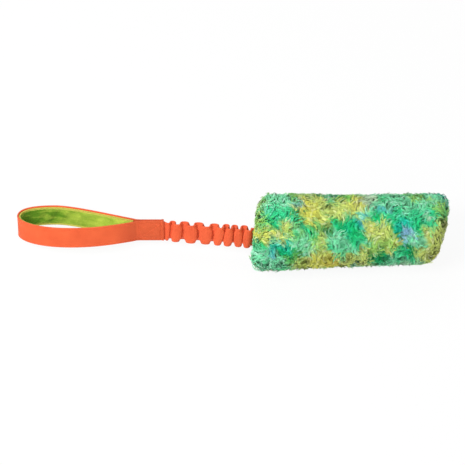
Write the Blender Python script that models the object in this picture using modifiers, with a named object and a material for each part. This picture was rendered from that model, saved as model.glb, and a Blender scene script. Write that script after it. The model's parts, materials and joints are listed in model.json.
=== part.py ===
"""Bungee tug toy: a lined webbing hand loop, a gathered bungee sleeve over its elastic, and a
stuffed faux-fur roll. Metres, +Z up, +X from the hand loop to the roll. It lies on the floor at
Z 0, on the roll's flattened underside and on the lower edge of the loop's rear strap, and its
origin is under the middle of its bounding box.

Loop, neck, bungee and anchor strap share one centreline. It lies in the toy's plane, which leans
back with the hand loop: x runs along the toy, depth runs to the rear, and rise runs up the
webbing's width. Its origin is the middle of the roll's mouth."""

import math

import bmesh
import bpy
from mathutils import Matrix, Vector
from mathutils.geometry import interpolate_bezier

# Fits between sewn pieces
sewn_gap = 0.0003
thread_radius = 0.0004

# Hand loop: one strap of webbing with a soft lining sewn inside it
webbing_width = 0.025
webbing_thickness = 0.0015
lining_thickness = 0.0020
lining_inset = 0.0012
lining_fork_clearance = 0.004
loop_length = 0.1355
rear_belly = 0.0344
front_belly = 0.0180
bend_depth = 0.012
handle_lean = math.radians(20)
edge_row_inset = 0.0026

# Neck: the two ends of the webbing, with the sleeve's end between them
neck_length = 0.0314
neck_box_length = 0.024
neck_box_width = 0.018
stitch_line_width = 0.0010
stitch_line_height = 0.0005

# Elastic, and the gathered sleeve round it
elastic_width = 0.009
elastic_thickness = 0.0012
elastic_clearance = 0.0003
sleeve_width = 0.0235
sleeve_wall = 0.0008
sleeve_edge_thickness = 0.0022
bungee_length = 0.1046
bungee_sweep = math.radians(8.3)
neck_band = 0.003
mouth_band = 0.002
sleeve_front_tail = 0.026
sleeve_rear_tail = 0.026
elastic_end_inset = 0.004

# Pleats, the last of them cut short at the mouth. The tight ones, next to the neck and the roll,
# are this share of the wide ones' pitch. The other shares are of the pleat's own pitch.
pleat_count = 7.5
pleat_depth = 0.0120
tight_share = 0.64
wide_pleats = (1.0, 3.7)
crest_spread = 0.16
fold_overhang = 0.13
pleat_growth = 0.35
pleat_slant = 0.10
pleat_unevenness = 0.12
first_pleat = 0.4
rings_per_pleat = 8

# Roll: a faux-fur cover, its pile included, over two wads with the anchor strap between them
roll_length = 0.2105
roll_mouth_radius = 0.0434
roll_far_radius = 0.0394
roll_flattening = 0.07
roll_corner = 0.011
roll_swell = 0.0003
roll_end_dome = 0.003
roll_base_cut = 0.0005
roll_yaw = math.radians(2.4)
roll_sideways = -0.0044
mouth_tuck = 0.002
cover_thickness = 0.009
mouth_end_slant = 0.17
far_end_slant = 0.33
slant_bearing = math.radians(40)
anchor_width = 0.020
anchor_thickness = 0.0016
lap_box_length = 0.013
lap_box_width = 0.008

# Tufts of the pile, all over the roll but for where it is pressed onto the floor
tuft_pitch = 0.024
tuft_rows = 12
tuft_height = 0.0024
tuft_drift = 0.8
tuft_drift_length = 0.019
pressed_height = 0.020

facets_per_tuft = 3
inner_facets = 24

# Half thicknesses and offsets that follow from these sizes
elastic_room = elastic_thickness / 2 + elastic_clearance
sleeve_half = elastic_room + sleeve_wall
neck_offset = sleeve_half + sewn_gap + webbing_thickness / 2
anchor_offset = sleeve_half + sewn_gap + anchor_thickness / 2
lap_stitch_offset = sleeve_half + sewn_gap + stitch_line_height / 2
seam_reach = sewn_gap + thread_radius
mouth_slot_clearance = 2 * seam_reach

bpy.ops.object.select_all(action="DESELECT")
for leftover in list(bpy.data.objects):
    bpy.data.objects.remove(leftover, do_unlink=True)

toy = bpy.data.collections.new("bungee_tug_toy")
cutters = bpy.data.collections.new("cutters")
bpy.context.scene.collection.children.link(toy)
bpy.context.scene.collection.children.link(cutters)


def finish(name, colour, roughness):
    """A cloth finish in one colour."""
    made = bpy.data.materials.new(name)
    made.use_nodes = True
    shader = made.node_tree.nodes["Principled BSDF"]
    shader.inputs["Base Color"].default_value = (*colour, 1)
    shader.inputs["Roughness"].default_value = roughness
    shader.inputs["Metallic"].default_value = 0
    return made


def axis_empty(name, parent, place):
    """An empty that stands on a joint's axis and carries the pieces beyond it."""
    made = bpy.data.objects.new(name, None)
    made.empty_display_size = 0.02
    toy.objects.link(made)
    made.matrix_world = place
    if parent:
        made.parent = parent
        made.matrix_parent_inverse = parent.matrix_world.inverted()
        made.matrix_basis = place
    return made


def carry(piece, parent, place):
    """Sets a piece down at its place and lets the parent carry it."""
    piece.parent = parent
    piece.matrix_parent_inverse = parent.matrix_world.inverted()
    piece.matrix_basis = place


def as_piece(name, data, parent, place, look):
    """A sub-part made from mesh or curve data."""
    piece = bpy.data.objects.new(name, data)
    toy.objects.link(piece)
    carry(piece, parent, place)
    piece.data.materials.clear()
    piece.data.materials.append(look)
    return piece


def as_cutter(name, data, parent, place):
    """A solid that only cuts others."""
    cutter = bpy.data.objects.new(name, data)
    cutters.objects.link(cutter)
    carry(cutter, parent, place)
    cutter.hide_render = True
    cutter.display_type = "WIRE"
    return cutter


def cut(piece, cutter, operation="DIFFERENCE"):
    boolean = piece.modifiers.new(cutter.name, "BOOLEAN")
    boolean.operation = operation
    boolean.solver = "EXACT"
    boolean.object = cutter


def mesh_from_curve(curve):
    """A curve's surface as a mesh, with its loose caps and ends welded."""
    holder = bpy.data.objects.new("holder", curve)
    toy.objects.link(holder)
    bpy.context.view_layer.update()
    seen = holder.evaluated_get(bpy.context.evaluated_depsgraph_get())
    mesh = bpy.data.meshes.new_from_object(seen)
    bpy.data.objects.remove(holder, do_unlink=True)
    bm = bmesh.new()
    bm.from_mesh(mesh)
    bmesh.ops.remove_doubles(bm, verts=bm.verts, dist=1e-6)
    bm.to_mesh(mesh)
    bm.free()
    return mesh


def poly_curve(name, outlines, cyclic, flat):
    """A curve through the given points, with one straight-sided spline for each outline."""
    curve = bpy.data.curves.new(name, "CURVE")
    curve.dimensions = "2D" if flat else "3D"
    curve.fill_mode = "NONE" if flat else "FULL"
    for outline in outlines:
        spline = curve.splines.new("POLY")
        spline.points.add(len(outline) - 1)
        for point, where in zip(spline.points, outline):
            point.co = (*where, 1)
        spline.use_cyclic_u = cyclic
    return curve


def ribbon(name, path, width, thickness, parent, place, look):
    """A strap along a path in the toy's plane, its width square to the plane."""
    curve = poly_curve(name, [[(x, depth, 0) for x, depth in path]], cyclic=False, flat=True)
    curve.extrude = width / 2
    strap = as_piece(name, mesh_from_curve(curve), parent, place, look)
    wall = strap.modifiers.new("thickness", "SOLIDIFY")
    wall.thickness = thickness
    wall.offset = 0
    wall.use_even_offset = True
    edges = strap.modifiers.new("soft_edges", "BEVEL")
    edges.width = thickness / 4
    edges.segments = 1
    edges.limit_method = "ANGLE"
    edges.angle_limit = math.radians(60)
    return strap


def thread(name, path, cyclic, parent, place, look):
    """A line of thread lying on the cloth."""
    curve = poly_curve(name, [path], cyclic=cyclic, flat=False)
    curve.bevel_depth = thread_radius
    curve.bevel_resolution = 0
    curve.use_fill_caps = True
    return as_piece(name, mesh_from_curve(curve), parent, place, look)


def offset_path(path, distance):
    """The path moved sideways, to the left of its own direction."""
    moved = []
    for i, point in enumerate(path):
        before, after = path[max(i - 1, 0)], path[min(i + 1, len(path) - 1)]
        along = (after - before).normalized()
        moved.append(point + distance * Vector((-along.y, along.x)))
    return moved


def stadium(half_length, half_width, arc_steps):
    """A flat ring outline with round ends."""
    outline = []
    for side in (1, -1):
        for step in range(arc_steps + 1):
            angle = math.pi * (step / arc_steps - 0.5)
            across = half_length - half_width + half_width * math.cos(angle)
            outline.append((side * across, side * half_width * math.sin(angle)))
    return outline


def box_stitch(name, length, width, parent, place, look):
    """A sewn box with a cross in it: a plate with four three-cornered windows."""
    x, y, line = length / 2, width / 2, stitch_line_width
    skew_x = line * math.hypot(x, y) / (2 * y)
    skew_y = line * math.hypot(x, y) / (2 * x)
    inner_x, inner_y = x - line, y - line
    windows = [[(x, y, 0), (-x, y, 0), (-x, -y, 0), (x, -y, 0)]]
    for side in (1, -1):
        reach_x = inner_x * (inner_y - skew_y / 2) / inner_y
        reach_y = inner_y * (inner_x - skew_x / 2) / inner_x
        windows.append([(0, side * skew_y / 2, 0), (reach_x, side * inner_y, 0),
                        (-reach_x, side * inner_y, 0)])
        windows.append([(side * skew_x / 2, 0, 0), (side * inner_x, reach_y, 0),
                        (side * inner_x, -reach_y, 0)])
    curve = poly_curve(name, windows, cyclic=True, flat=True)
    curve.fill_mode = "BOTH"
    curve.extrude = stitch_line_height / 2
    return as_piece(name, mesh_from_curve(curve), parent, place, look)


def ease(share):
    share = min(max(share, 0.0), 1.0)
    return share * share * (3 - 2 * share)


def heading(along):
    """The centreline's direction: straight in the neck, swept forward down the bungee, and in
    line with the roll from its mouth on. along is measured from the neck's end."""
    leaving = ease(along / (2 * neck_band))
    arriving = ease((along - bungee_length) / (4 * mouth_band) + 1)
    return (bungee_sweep + roll_yaw) * arriving - bungee_sweep * leaving


def traced_centreline(step=0.00025):
    """Points every step along the centreline from the neck's end, set so that the mouth is at
    the plane's origin."""
    count = round((bungee_length + sleeve_rear_tail) / step) + 2
    points = [Vector((0, 0))]
    for i in range(count):
        turned = heading((i + 0.5) * step)
        points.append(points[-1] + step * Vector((math.cos(turned), math.sin(turned))))
    share = bungee_length / step
    whole = int(share)
    mouth = points[whole].lerp(points[whole + 1], share - whole)
    return [point - mouth for point in points], step


centreline, centreline_step = traced_centreline()
neck_end = centreline[0]


def centre_at(along):
    """The centreline's point at a distance from the neck's end. Before it, it runs straight."""
    if along < 0:
        return neck_end + Vector((along, 0))
    share = along / centreline_step
    whole = min(int(share), len(centreline) - 2)
    return centreline[whole] + (share - whole) * (centreline[whole + 1] - centreline[whole])


def to_rear(along):
    """The direction square to the centreline, towards the rear."""
    return Vector((-math.sin(heading(along)), math.cos(heading(along))))


# Where the toy's plane stands: the rear strap's lower edge just meets the floor
lean_sin, lean_cos = math.sin(handle_lean), math.cos(handle_lean)
lowest_depth = neck_end.y + rear_belly + webbing_thickness / 2
mouth_height = lowest_depth * lean_sin + webbing_width / 2 * lean_cos
plane = Matrix.Translation((0, 0, mouth_height)) @ Matrix.Rotation(-handle_lean, 4, "X")


def plane_frame(point, turn=0.0):
    """A frame in the toy's plane, its x turned from the toy's own by an angle."""
    return plane @ Matrix.Translation((*point, 0)) @ Matrix.Rotation(turn, 4, "Z")


toy_origin = axis_empty("toy_origin", None, Matrix.Identity(4))
neck_bend = axis_empty("neck_bend_axis", toy_origin, plane_frame(centre_at(neck_band / 2)))
bungee_stretch = axis_empty("bungee_stretch_axis", neck_bend,
                            plane_frame(centre_at(bungee_length / 2), -bungee_sweep))
bungee_twist = axis_empty("bungee_twist_axis", bungee_stretch, plane_frame((0, 0), -bungee_sweep))
tug_swing = axis_empty("tug_swing_axis", bungee_twist, plane_frame((0, 0), roll_yaw))

orange_webbing = finish("orange_webbing", (0.92, 0.155, 0.055), 0.75)
orange_thread = finish("orange_thread", (0.80, 0.11, 0.035), 0.6)
lime_lining = finish("lime_lining", (0.38, 0.55, 0.05), 0.9)
white_elastic = finish("white_elastic", (0.8, 0.8, 0.77), 0.7)
anchor_webbing = finish("anchor_webbing", (0.92, 0.155, 0.055), 0.75)
faux_fur = finish("faux_fur", (0.10, 0.46, 0.20), 0.95)
wadding = finish("wadding", (0.85, 0.85, 0.83), 0.95)


def handle_path():
    """The webbing's middle line, from its rear end in the neck round the loop to its front end.
    Each span is a cubic between two points with their handles, drawn in shares of the loop."""
    fork = -neck_length
    tip = fork - loop_length
    rear_at, front_at = tip + 0.30 * loop_length, tip + 0.46 * loop_length
    spans = [
        ((0, neck_offset), (fork / 3, neck_offset), (fork * 2 / 3, neck_offset),
         (fork, neck_offset)),
        ((fork, neck_offset), (fork - 0.12 * loop_length, 0.22 * rear_belly),
         (rear_at + 0.17 * loop_length, rear_belly), (rear_at, rear_belly)),
        ((rear_at, rear_belly), (rear_at - 0.20 * loop_length, rear_belly),
         (tip, bend_depth + 0.45 * rear_belly), (tip, bend_depth)),
        ((tip, bend_depth), (tip, bend_depth - 0.65 * front_belly),
         (front_at - 0.32 * loop_length, -front_belly), (front_at, -front_belly)),
        ((front_at, -front_belly), (front_at + 0.25 * loop_length, -front_belly),
         (fork - 0.12 * loop_length, -0.42 * front_belly), (fork, -neck_offset)),
        ((fork, -neck_offset), (fork * 2 / 3, -neck_offset), (fork / 3, -neck_offset),
         (0, -neck_offset)),
    ]
    steps = (3, 14, 14, 14, 14, 3)
    path = [neck_end + Vector(spans[0][0])]
    for span, count in zip(spans, steps):
        start, leaving, arriving, end = (Vector((x, depth, 0)) for x, depth in span)
        for point in interpolate_bezier(start, leaving, arriving, end, count + 1)[1:]:
            path.append(neck_end + point.xy)
    return path


def between_forks(path, clearance):
    """The part of the handle's path that is that far or more from the fork."""
    return [point for point in path if point.x < neck_end.x - neck_length - clearance]


def build_handle():
    path = handle_path()
    ribbon("handle_webbing", path, webbing_width, webbing_thickness, toy_origin, plane,
           orange_webbing)
    inward = webbing_thickness / 2 + sewn_gap + lining_thickness / 2
    lined = between_forks(offset_path(path, inward), lining_fork_clearance)
    ribbon("handle_lining", lined, webbing_width - 2 * lining_inset, lining_thickness,
           toy_origin, plane, lime_lining)
    outward = webbing_thickness / 2 + sewn_gap + thread_radius
    sewn = between_forks(offset_path(path, -outward), 0)
    for name, side in (("edge_stitching_upper", 1), ("edge_stitching_lower", -1)):
        rise = side * (webbing_width / 2 - edge_row_inset)
        thread(name, [(x, depth, rise) for x, depth in sewn], False, toy_origin, plane,
               orange_thread)
    stitch_offset = neck_offset + webbing_thickness / 2 + sewn_gap + stitch_line_height / 2
    upright = Matrix.Rotation(math.pi / 2, 4, "X")
    for name, side in (("neck_box_stitch_front", -1), ("neck_box_stitch_rear", 1)):
        middle = neck_end + Vector((-neck_length / 2, side * stitch_offset))
        box_stitch(name, neck_box_length, neck_box_width, toy_origin,
                   plane_frame(middle) @ upright, orange_thread)


# Gathered sleeve
pleated_length = bungee_length - neck_band - mouth_band
swing = (pleat_depth - sleeve_edge_thickness) / 2
crest_height = pleat_depth / 2 - sleeve_half
outer_shares = (-0.88, -0.44, 0, 0.44, 0.88, 1)
lumen_shares = (-0.42, 0.42)
lumen_side = 0.52


def pitch_share(pleats):
    """A pleat's pitch, as a share of the wide ones'."""
    wide = ease(pleats - wide_pleats[0] + 0.5) * ease(wide_pleats[1] + 0.5 - pleats)
    return tight_share + (1 - tight_share) * wide


def pitch_sums(steps_per_pleat=16):
    """The pitches added up from the neck, in wide pitches, and the steps for each pleat."""
    sums = [0.0]
    for i in range(round(pleat_count * steps_per_pleat)):
        sums.append(sums[-1] + pitch_share((i + 0.5) / steps_per_pleat) / steps_per_pleat)
    return sums, steps_per_pleat


pleat_sums, sum_steps = pitch_sums()


def pleat_place(pleats):
    """How far from the neck's end a number of pleats reaches."""
    share = min(max(pleats, 0), pleat_count) * sum_steps
    whole = min(int(share), len(pleat_sums) - 2)
    reached = pleat_sums[whole] + (share - whole) * (pleat_sums[whole + 1] - pleat_sums[whole])
    return neck_band + pleated_length * reached / pleat_sums[-1]


def fold_size(pleats):
    """Pleats grow out of the flat ends and get taller towards the roll, and no two are alike."""
    grown = ease(first_pleat + 2 * pleats) * ease(2 * (pleat_count - pleats))
    taller = 1 + pleat_growth * (pleats / pleat_count - 0.5)
    return grown * taller * (1 - pleat_unevenness * (1 + math.sin(2.4 * pleats)) / 2)


def fold_at(pleats, face, share):
    """A place on the sleeve's front face (1) or rear face (-1), at a share of its half width:
    its distance along the centreline and its distance to the front. The folded edges swing from
    front to rear. In the middle each face only swells outwards, to leave the elastic straight,
    and its crests are wide with narrow valleys between them."""
    phase = 2 * math.pi * pleats
    size = fold_size(pleats)
    pitch = pleat_place(pleats + 0.5) - pleat_place(pleats - 0.5)
    middle = 1 - ease(2.2 * abs(share) - 1)
    along = pleat_place(pleats) + fold_overhang * pitch * size * math.sin(2 * phase)
    along += face * middle * crest_spread * pitch * size * math.sin(phase)
    edge = swing * size * math.cos(phase)
    belly = face * (sleeve_half + crest_height * size * (1 + face * math.cos(phase)) / 2)
    return along, edge + (belly - edge) * middle


def out_of_fold(pleats, face, share):
    """The direction out of a face, as a share along and a share to the front."""
    before, after = fold_at(pleats - 0.02, face, share), fold_at(pleats + 0.02, face, share)
    along, forward = after[0] - before[0], after[1] - before[1]
    length = math.hypot(along, forward)
    return -face * forward / length, face * along / length


def slanted(along, rise, pleats):
    """Pleats lean: their upper ends lie nearer the roll, some more than others."""
    lean = pleat_slant * (1 + 0.8 * math.sin(1.7 * pleats + 0.6))
    return along + rise * lean * fold_size(pleats)


def sleeve_point(along, forward, rise):
    """A point of the sleeve in the toy's plane, from its distance along, to the front and up."""
    return Vector((*(centre_at(along) - forward * to_rear(along)), rise))


def sleeve_ring(shares, pleats, along=None):
    """Points round the sleeve at these shares of its half width, up the front face and down the
    rear one, with those at a full share on its folded edges. Without an along, the ring lies in
    the pleats, and with one it is flat."""
    ring = []
    for face in (1, -1):
        for share in shares:
            rise = face * share * sleeve_width / 2
            edge = sleeve_edge_thickness / 2 * (1 - ease(6 * abs(share) - 5))
            edge *= ease(2.2 * abs(share) - 1)
            if along is None:
                fold = fold_at(pleats, face, share)
                out = out_of_fold(pleats, face, share)
                place = (fold[0] + edge * out[0], fold[1] + edge * out[1])
            else:
                flat = sleeve_half * (1 - ease(2.2 * abs(share) - 1))
                place = (along, face * (flat + edge))
            ring.append(sleeve_point(slanted(place[0], rise, pleats), place[1], rise))
    return ring


def lumen_ring(shares, pleats, along=None):
    """Points round the sleeve's inside, one wall in from its faces, clear of the elastic."""
    ring = []
    for face in (1, -1):
        for share in shares:
            rise = face * share * sleeve_width / 2
            if along is None:
                fold = fold_at(pleats, face, share)
                out = out_of_fold(pleats, face, share)
                place = (fold[0] - sleeve_wall * out[0], fold[1] - sleeve_wall * out[1])
            else:
                place = (along, face * elastic_room)
            ring.append(sleeve_point(slanted(place[0], rise, pleats), place[1], rise))
        rise = face * lumen_side * sleeve_width / 2
        side = crest_height * fold_size(pleats) * math.cos(2 * math.pi * pleats) / 2
        place = (pleat_place(pleats), side) if along is None else (along, 0)
        ring.append(sleeve_point(slanted(place[0], rise, pleats), place[1], rise))
    return ring


def tube(bm, rings):
    """A tube through equal rings: a grid with its long edges welded. Returns its two ends."""
    around = len(rings[0])
    made = bmesh.ops.create_grid(bm, x_segments=len(rings) - 1, y_segments=around, size=1)
    grid = sorted(made["verts"], key=lambda v: (round(v.co.x, 5), round(v.co.y, 5)))
    for i, ring in enumerate(rings):
        for j in range(around + 1):
            grid[i * (around + 1) + j].co = ring[j % around]
    bmesh.ops.remove_doubles(bm, verts=made["verts"], dist=1e-6)
    ends = []
    for ring in (rings[0], rings[-1]):
        corners = {v for v in bm.verts if min((v.co - p).length for p in ring) < 1e-6}
        ends.append([e for e in bm.edges if set(e.verts) <= corners and e.is_boundary])
    return ends


def build_sleeve():
    """The gathered sleeve as one tube with a wall, open at both ends."""
    outer_rings, inner_rings = [], []
    stations = [(0, -sleeve_front_tail), (0, 0)]
    rings = round(pleat_count * rings_per_pleat)
    stations += [(i * pleat_count / rings, None) for i in range(rings + 1)]
    stations += [(pleat_count, bungee_length), (pleat_count, bungee_length + sleeve_rear_tail)]
    for pleats, along in stations:
        outer_rings.append(sleeve_ring(outer_shares, pleats, along))
        inner_rings.append(lumen_ring(lumen_shares, pleats, along))
    bm = bmesh.new()
    outer = tube(bm, outer_rings)
    inner = tube(bm, inner_rings)
    for outer_end, inner_end in zip(outer, inner):
        bmesh.ops.triangle_fill(bm, edges=outer_end + inner_end, use_beauty=True)
    bmesh.ops.recalc_face_normals(bm, faces=bm.faces)
    mesh = bpy.data.meshes.new("bungee_sleeve")
    bm.to_mesh(mesh)
    bm.free()
    as_piece("bungee_sleeve", mesh, neck_bend, plane, orange_webbing)


def along_centreline(start, end, rear_offset=0.0):
    count = max(2, round((end - start) / 0.002))
    path = []
    for i in range(count + 1):
        along = start + (end - start) * i / count
        path.append(centre_at(along) + rear_offset * to_rear(along))
    return path


def build_elastic():
    start = elastic_end_inset - sleeve_front_tail
    end = bungee_length + sleeve_rear_tail - elastic_end_inset
    ribbon("elastic_core", along_centreline(start, end), elastic_width, elastic_thickness,
           bungee_stretch, plane, white_elastic)


# Roll
roll_place = Matrix.Translation((roll_end_dome - mouth_tuck, roll_sideways, 0))
roll_place = roll_place @ Matrix.Rotation(roll_yaw, 4, "Z")


def roll_radius(x):
    share = x / roll_length
    waves = roll_swell * math.sin(3 * math.pi * share)
    return roll_mouth_radius + (roll_far_radius - roll_mouth_radius) * share + waves


def tuft(x, out, turn):
    """How far a tuft of pile stands out, or the valley between tufts dips in. Tufts lie in
    staggered, drifting rows, which run on over the rims onto the ends and fade there. out is the
    distance from the axis."""
    edge = roll_radius(min(max(x, 0), roll_length))
    reached = x + (edge - out) * (1 if x > roll_length / 2 else -1)
    along = 2 * math.pi * reached / tuft_pitch + tuft_drift * math.sin(3 * turn)
    around = tuft_rows * turn + tuft_drift * math.sin(x / tuft_drift_length)
    lumps = (math.cos(around) + 2 * math.cos(along) * math.cos(around / 2)) / 3
    height = edge + out * math.cos(turn)
    return tuft_height * lumps * ease(2 * out / edge - 1) * ease(height / pressed_height)


def roll_profile(inset, side_steps, corner_steps):
    """Half the roll's outline from axis to axis, drawn in by inset: a domed end, a round corner,
    the side, a corner and an end."""
    corner = roll_corner - inset
    outline = []
    for step in range(corner_steps + 1):
        angle = math.pi / 2 * step / corner_steps
        x = roll_corner - corner * math.cos(angle)
        outline.append((x, roll_radius(roll_corner) - roll_corner + corner * math.sin(angle)))
    for step in range(1, side_steps):
        x = roll_corner + (roll_length - 2 * roll_corner) * step / side_steps
        outline.append((x, roll_radius(x) - inset))
    far = roll_length - roll_corner
    for step in range(corner_steps + 1):
        angle = math.pi / 2 * step / corner_steps
        x = far + corner * math.sin(angle)
        outline.append((x, roll_radius(far) - roll_corner + corner * math.cos(angle)))
    first, last = outline[0], outline[-1]
    domed = [(first[0] - roll_end_dome, 0), (first[0] - 0.75 * roll_end_dome, first[1] / 2)]
    domed += outline
    domed += [(last[0] + 0.75 * roll_end_dome, last[1] / 2), (last[0] + roll_end_dome, 0)]
    return domed


def roll_mesh(name, inset, side_steps, corner_steps, facets=inner_facets, tufted=False):
    """The roll as a turned solid, which gets its tufts and is then flattened, set down on the
    floor and slanted at its ends."""
    bm = bmesh.new()
    line = [bm.verts.new((x, 0, radius)) for x, radius in
            roll_profile(inset, side_steps, corner_steps)]
    edges = [bm.edges.new(pair) for pair in zip(line, line[1:])]
    bmesh.ops.spin(bm, geom=line + edges, cent=(0, 0, 0), axis=(1, 0, 0), angle=2 * math.pi,
                   steps=facets, use_merge=True)
    bmesh.ops.remove_doubles(bm, verts=bm.verts, dist=1e-6)
    bmesh.ops.recalc_face_normals(bm, faces=bm.faces)
    bm.normal_update()
    for vertex in bm.verts:
        x, y, z = vertex.co
        if tufted:
            x, y, z = vertex.co + tuft(x, math.hypot(y, z), math.atan2(y, z)) * vertex.normal
        share = min(max(x / roll_length, 0), 1)
        slant = mouth_end_slant + (far_end_slant - mouth_end_slant) * share
        y, z = y * (1 + roll_flattening), z * (1 - roll_flattening)
        lie = y * math.cos(slant_bearing) + z * math.sin(slant_bearing)
        middle = roll_radius(share * roll_length) * (1 - roll_flattening) - roll_base_cut
        vertex.co = (x + slant * lie, y, middle + z)
    mesh = bpy.data.meshes.new(name)
    bm.to_mesh(mesh)
    bm.free()
    return mesh


def box_mesh(name, low, high):
    """A block between two corners."""
    bm = bmesh.new()
    bmesh.ops.create_cube(bm, size=1)
    for vertex in bm.verts:
        vertex.co = [a + (b - a) * (c + 0.5) for a, b, c in zip(low, high, vertex.co)]
    mesh = bpy.data.meshes.new(name)
    bm.to_mesh(mesh)
    bm.free()
    return mesh


def prism_mesh(name, outline, low, high):
    """A flat outline drawn out between two heights."""
    curve = poly_curve(name, [[(*point, 0) for point in outline]], cyclic=True, flat=True)
    curve.fill_mode = "BOTH"
    curve.extrude = (high - low) / 2
    mesh = mesh_from_curve(curve)
    mesh.transform(Matrix.Translation((0, 0, (low + high) / 2)))
    return mesh


# From here x runs into the roll, y to the rear and z up the webbing's width
mouth_frame = plane_frame((0, 0), roll_yaw)
# The same with the outline's first axis up the webbing's width and the path into the roll as z
facing_mouth = mouth_frame @ Matrix(((0, 0, 1, 0), (0, 1, 0, 0), (-1, 0, 0, 0), (0, 0, 0, 1)))


def build_roll():
    reach = 2 * roll_length
    cavity = as_cutter("cavity", roll_mesh("cavity", cover_thickness, 6, 3), tug_swing, roll_place)
    floor = as_cutter("floor", box_mesh("floor", (-reach, -reach, -reach), (reach, reach, 0)),
                      tug_swing, roll_place)
    slot_outline = stadium(sleeve_width / 2 + mouth_slot_clearance + sewn_gap,
                           sleeve_half + mouth_slot_clearance, 8)
    slot = as_cutter("mouth_slot",
                     prism_mesh("mouth_slot", slot_outline, -cover_thickness,
                                2 * cover_thickness),
                     tug_swing, facing_mouth)
    side_steps = round(facets_per_tuft * roll_length / tuft_pitch)
    shell = roll_mesh("fur_cover", 0, side_steps, 3, facets_per_tuft * tuft_rows, tufted=True)
    cover = as_piece("fur_cover", shell, tug_swing, roll_place, faux_fur)
    cut(cover, cavity)
    cut(cover, slot)
    cut(cover, floor)

    seam_outline = stadium(sleeve_width / 2 + seam_reach + sewn_gap, sleeve_half + seam_reach, 6)
    thread("mouth_stitching", [(up, rear, mouth_band) for up, rear in seam_outline], True,
           tug_swing, facing_mouth, orange_thread)

    filling = cover_thickness + sewn_gap
    room = as_cutter("room", roll_mesh("room", filling, 6, 3), tug_swing, roll_place)
    strap_start = bungee_length + cover_thickness
    strap_path = [centre_at(strap_start) + anchor_offset * to_rear(strap_start)]
    strap_path.append(strap_path[0] + (roll_length + cover_thickness) * heading_vector())
    strap = ribbon("anchor_strap", strap_path, anchor_width, anchor_thickness, bungee_twist,
                   plane, anchor_webbing)
    cut(strap, room, "INTERSECT")

    lap_middle = Vector((sleeve_rear_tail + cover_thickness) / 2 * heading_vector())
    lap_middle -= lap_stitch_offset * to_rear(bungee_length)
    box_stitch("lap_box_stitch", lap_box_length, lap_box_width, tug_swing,
               plane_frame(lap_middle, roll_yaw) @ Matrix.Rotation(math.pi / 2, 4, "X"),
               orange_thread)

    pocket = as_cutter("tail_pocket",
                       box_mesh("tail_pocket",
                                (-cover_thickness,
                                 -sleeve_half - 2 * sewn_gap - stitch_line_height,
                                 -sleeve_width / 2 - sewn_gap),
                                (sleeve_rear_tail + sewn_gap, reach,
                                 sleeve_width / 2 + sewn_gap)),
                       tug_swing, mouth_frame)
    split = anchor_offset - anchor_thickness / 2 - sewn_gap
    front_room = as_cutter("front_half",
                           box_mesh("front_half", (-reach, -reach, -reach),
                                    (reach, split, reach)), tug_swing, mouth_frame)
    front = as_piece("wadding_front", roll_mesh("wadding_front", filling, 6, 3), tug_swing,
                     roll_place, wadding)
    cut(front, front_room, "INTERSECT")
    cut(front, pocket)
    rear_room = as_cutter("rear_half",
                          box_mesh("rear_half",
                                   (-reach, split + anchor_thickness + 2 * sewn_gap, -reach),
                                   (reach, reach, reach)), tug_swing, mouth_frame)
    rear = as_piece("wadding_rear", roll_mesh("wadding_rear", filling, 6, 3), tug_swing,
                    roll_place, wadding)
    cut(rear, rear_room, "INTERSECT")


def heading_vector():
    """The roll's direction in the toy's plane."""
    return Vector((math.cos(roll_yaw), math.sin(roll_yaw)))


def centre_on_floor():
    """Moves the whole toy so that its origin lies under the middle of its bounding box."""
    bpy.context.view_layer.update()
    graph = bpy.context.evaluated_depsgraph_get()
    low, high = Vector((1e9, 1e9)), Vector((-1e9, -1e9))
    for piece in toy.objects:
        if piece.type != "MESH":
            continue
        seen = piece.evaluated_get(graph)
        for vertex in seen.to_mesh().vertices:
            place = seen.matrix_world @ vertex.co
            low = Vector(map(min, low, place.xy))
            high = Vector(map(max, high, place.xy))
        seen.to_mesh_clear()
    toy_origin.location = (*(-(low + high) / 2), 0)


build_handle()
build_sleeve()
build_elastic()
build_roll()
for piece in toy.objects:
    if piece.type == "MESH":
        piece.data.shade_smooth()
        piece.data.set_sharp_from_angle(angle=math.radians(40))
centre_on_floor()
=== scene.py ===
"""The looks of the bungee tug toy: its hand loop, gathered bungee and faux-fur roll, each made over
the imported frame. Metres, +Z up, +X from the hand loop to the roll."""

import json
import math

import bpy
import numpy as np
from mathutils import Matrix, Vector, kdtree
from mathutils.geometry import interpolate_bezier


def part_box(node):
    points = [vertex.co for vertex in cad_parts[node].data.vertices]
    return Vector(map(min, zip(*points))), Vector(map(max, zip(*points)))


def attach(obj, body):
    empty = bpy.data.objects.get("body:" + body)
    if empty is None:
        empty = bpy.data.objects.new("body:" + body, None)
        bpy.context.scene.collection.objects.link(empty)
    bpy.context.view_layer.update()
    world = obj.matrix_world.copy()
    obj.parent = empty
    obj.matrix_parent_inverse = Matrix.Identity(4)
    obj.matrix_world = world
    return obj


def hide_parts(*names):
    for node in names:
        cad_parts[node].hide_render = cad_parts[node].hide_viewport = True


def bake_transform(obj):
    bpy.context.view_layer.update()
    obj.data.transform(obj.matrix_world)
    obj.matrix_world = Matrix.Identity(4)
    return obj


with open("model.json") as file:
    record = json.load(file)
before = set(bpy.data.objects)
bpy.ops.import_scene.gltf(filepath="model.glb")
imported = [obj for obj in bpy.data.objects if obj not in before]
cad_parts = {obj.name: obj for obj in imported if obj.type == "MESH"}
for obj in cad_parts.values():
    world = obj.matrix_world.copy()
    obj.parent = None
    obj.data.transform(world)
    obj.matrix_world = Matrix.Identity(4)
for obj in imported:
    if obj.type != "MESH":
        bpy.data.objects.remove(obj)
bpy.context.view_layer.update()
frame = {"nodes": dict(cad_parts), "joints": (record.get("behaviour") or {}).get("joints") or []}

# Camera: a long lens in front of the toy, 50 degrees above the floor.
image_size = 465
metres_per_pixel = 0.00113
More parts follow.
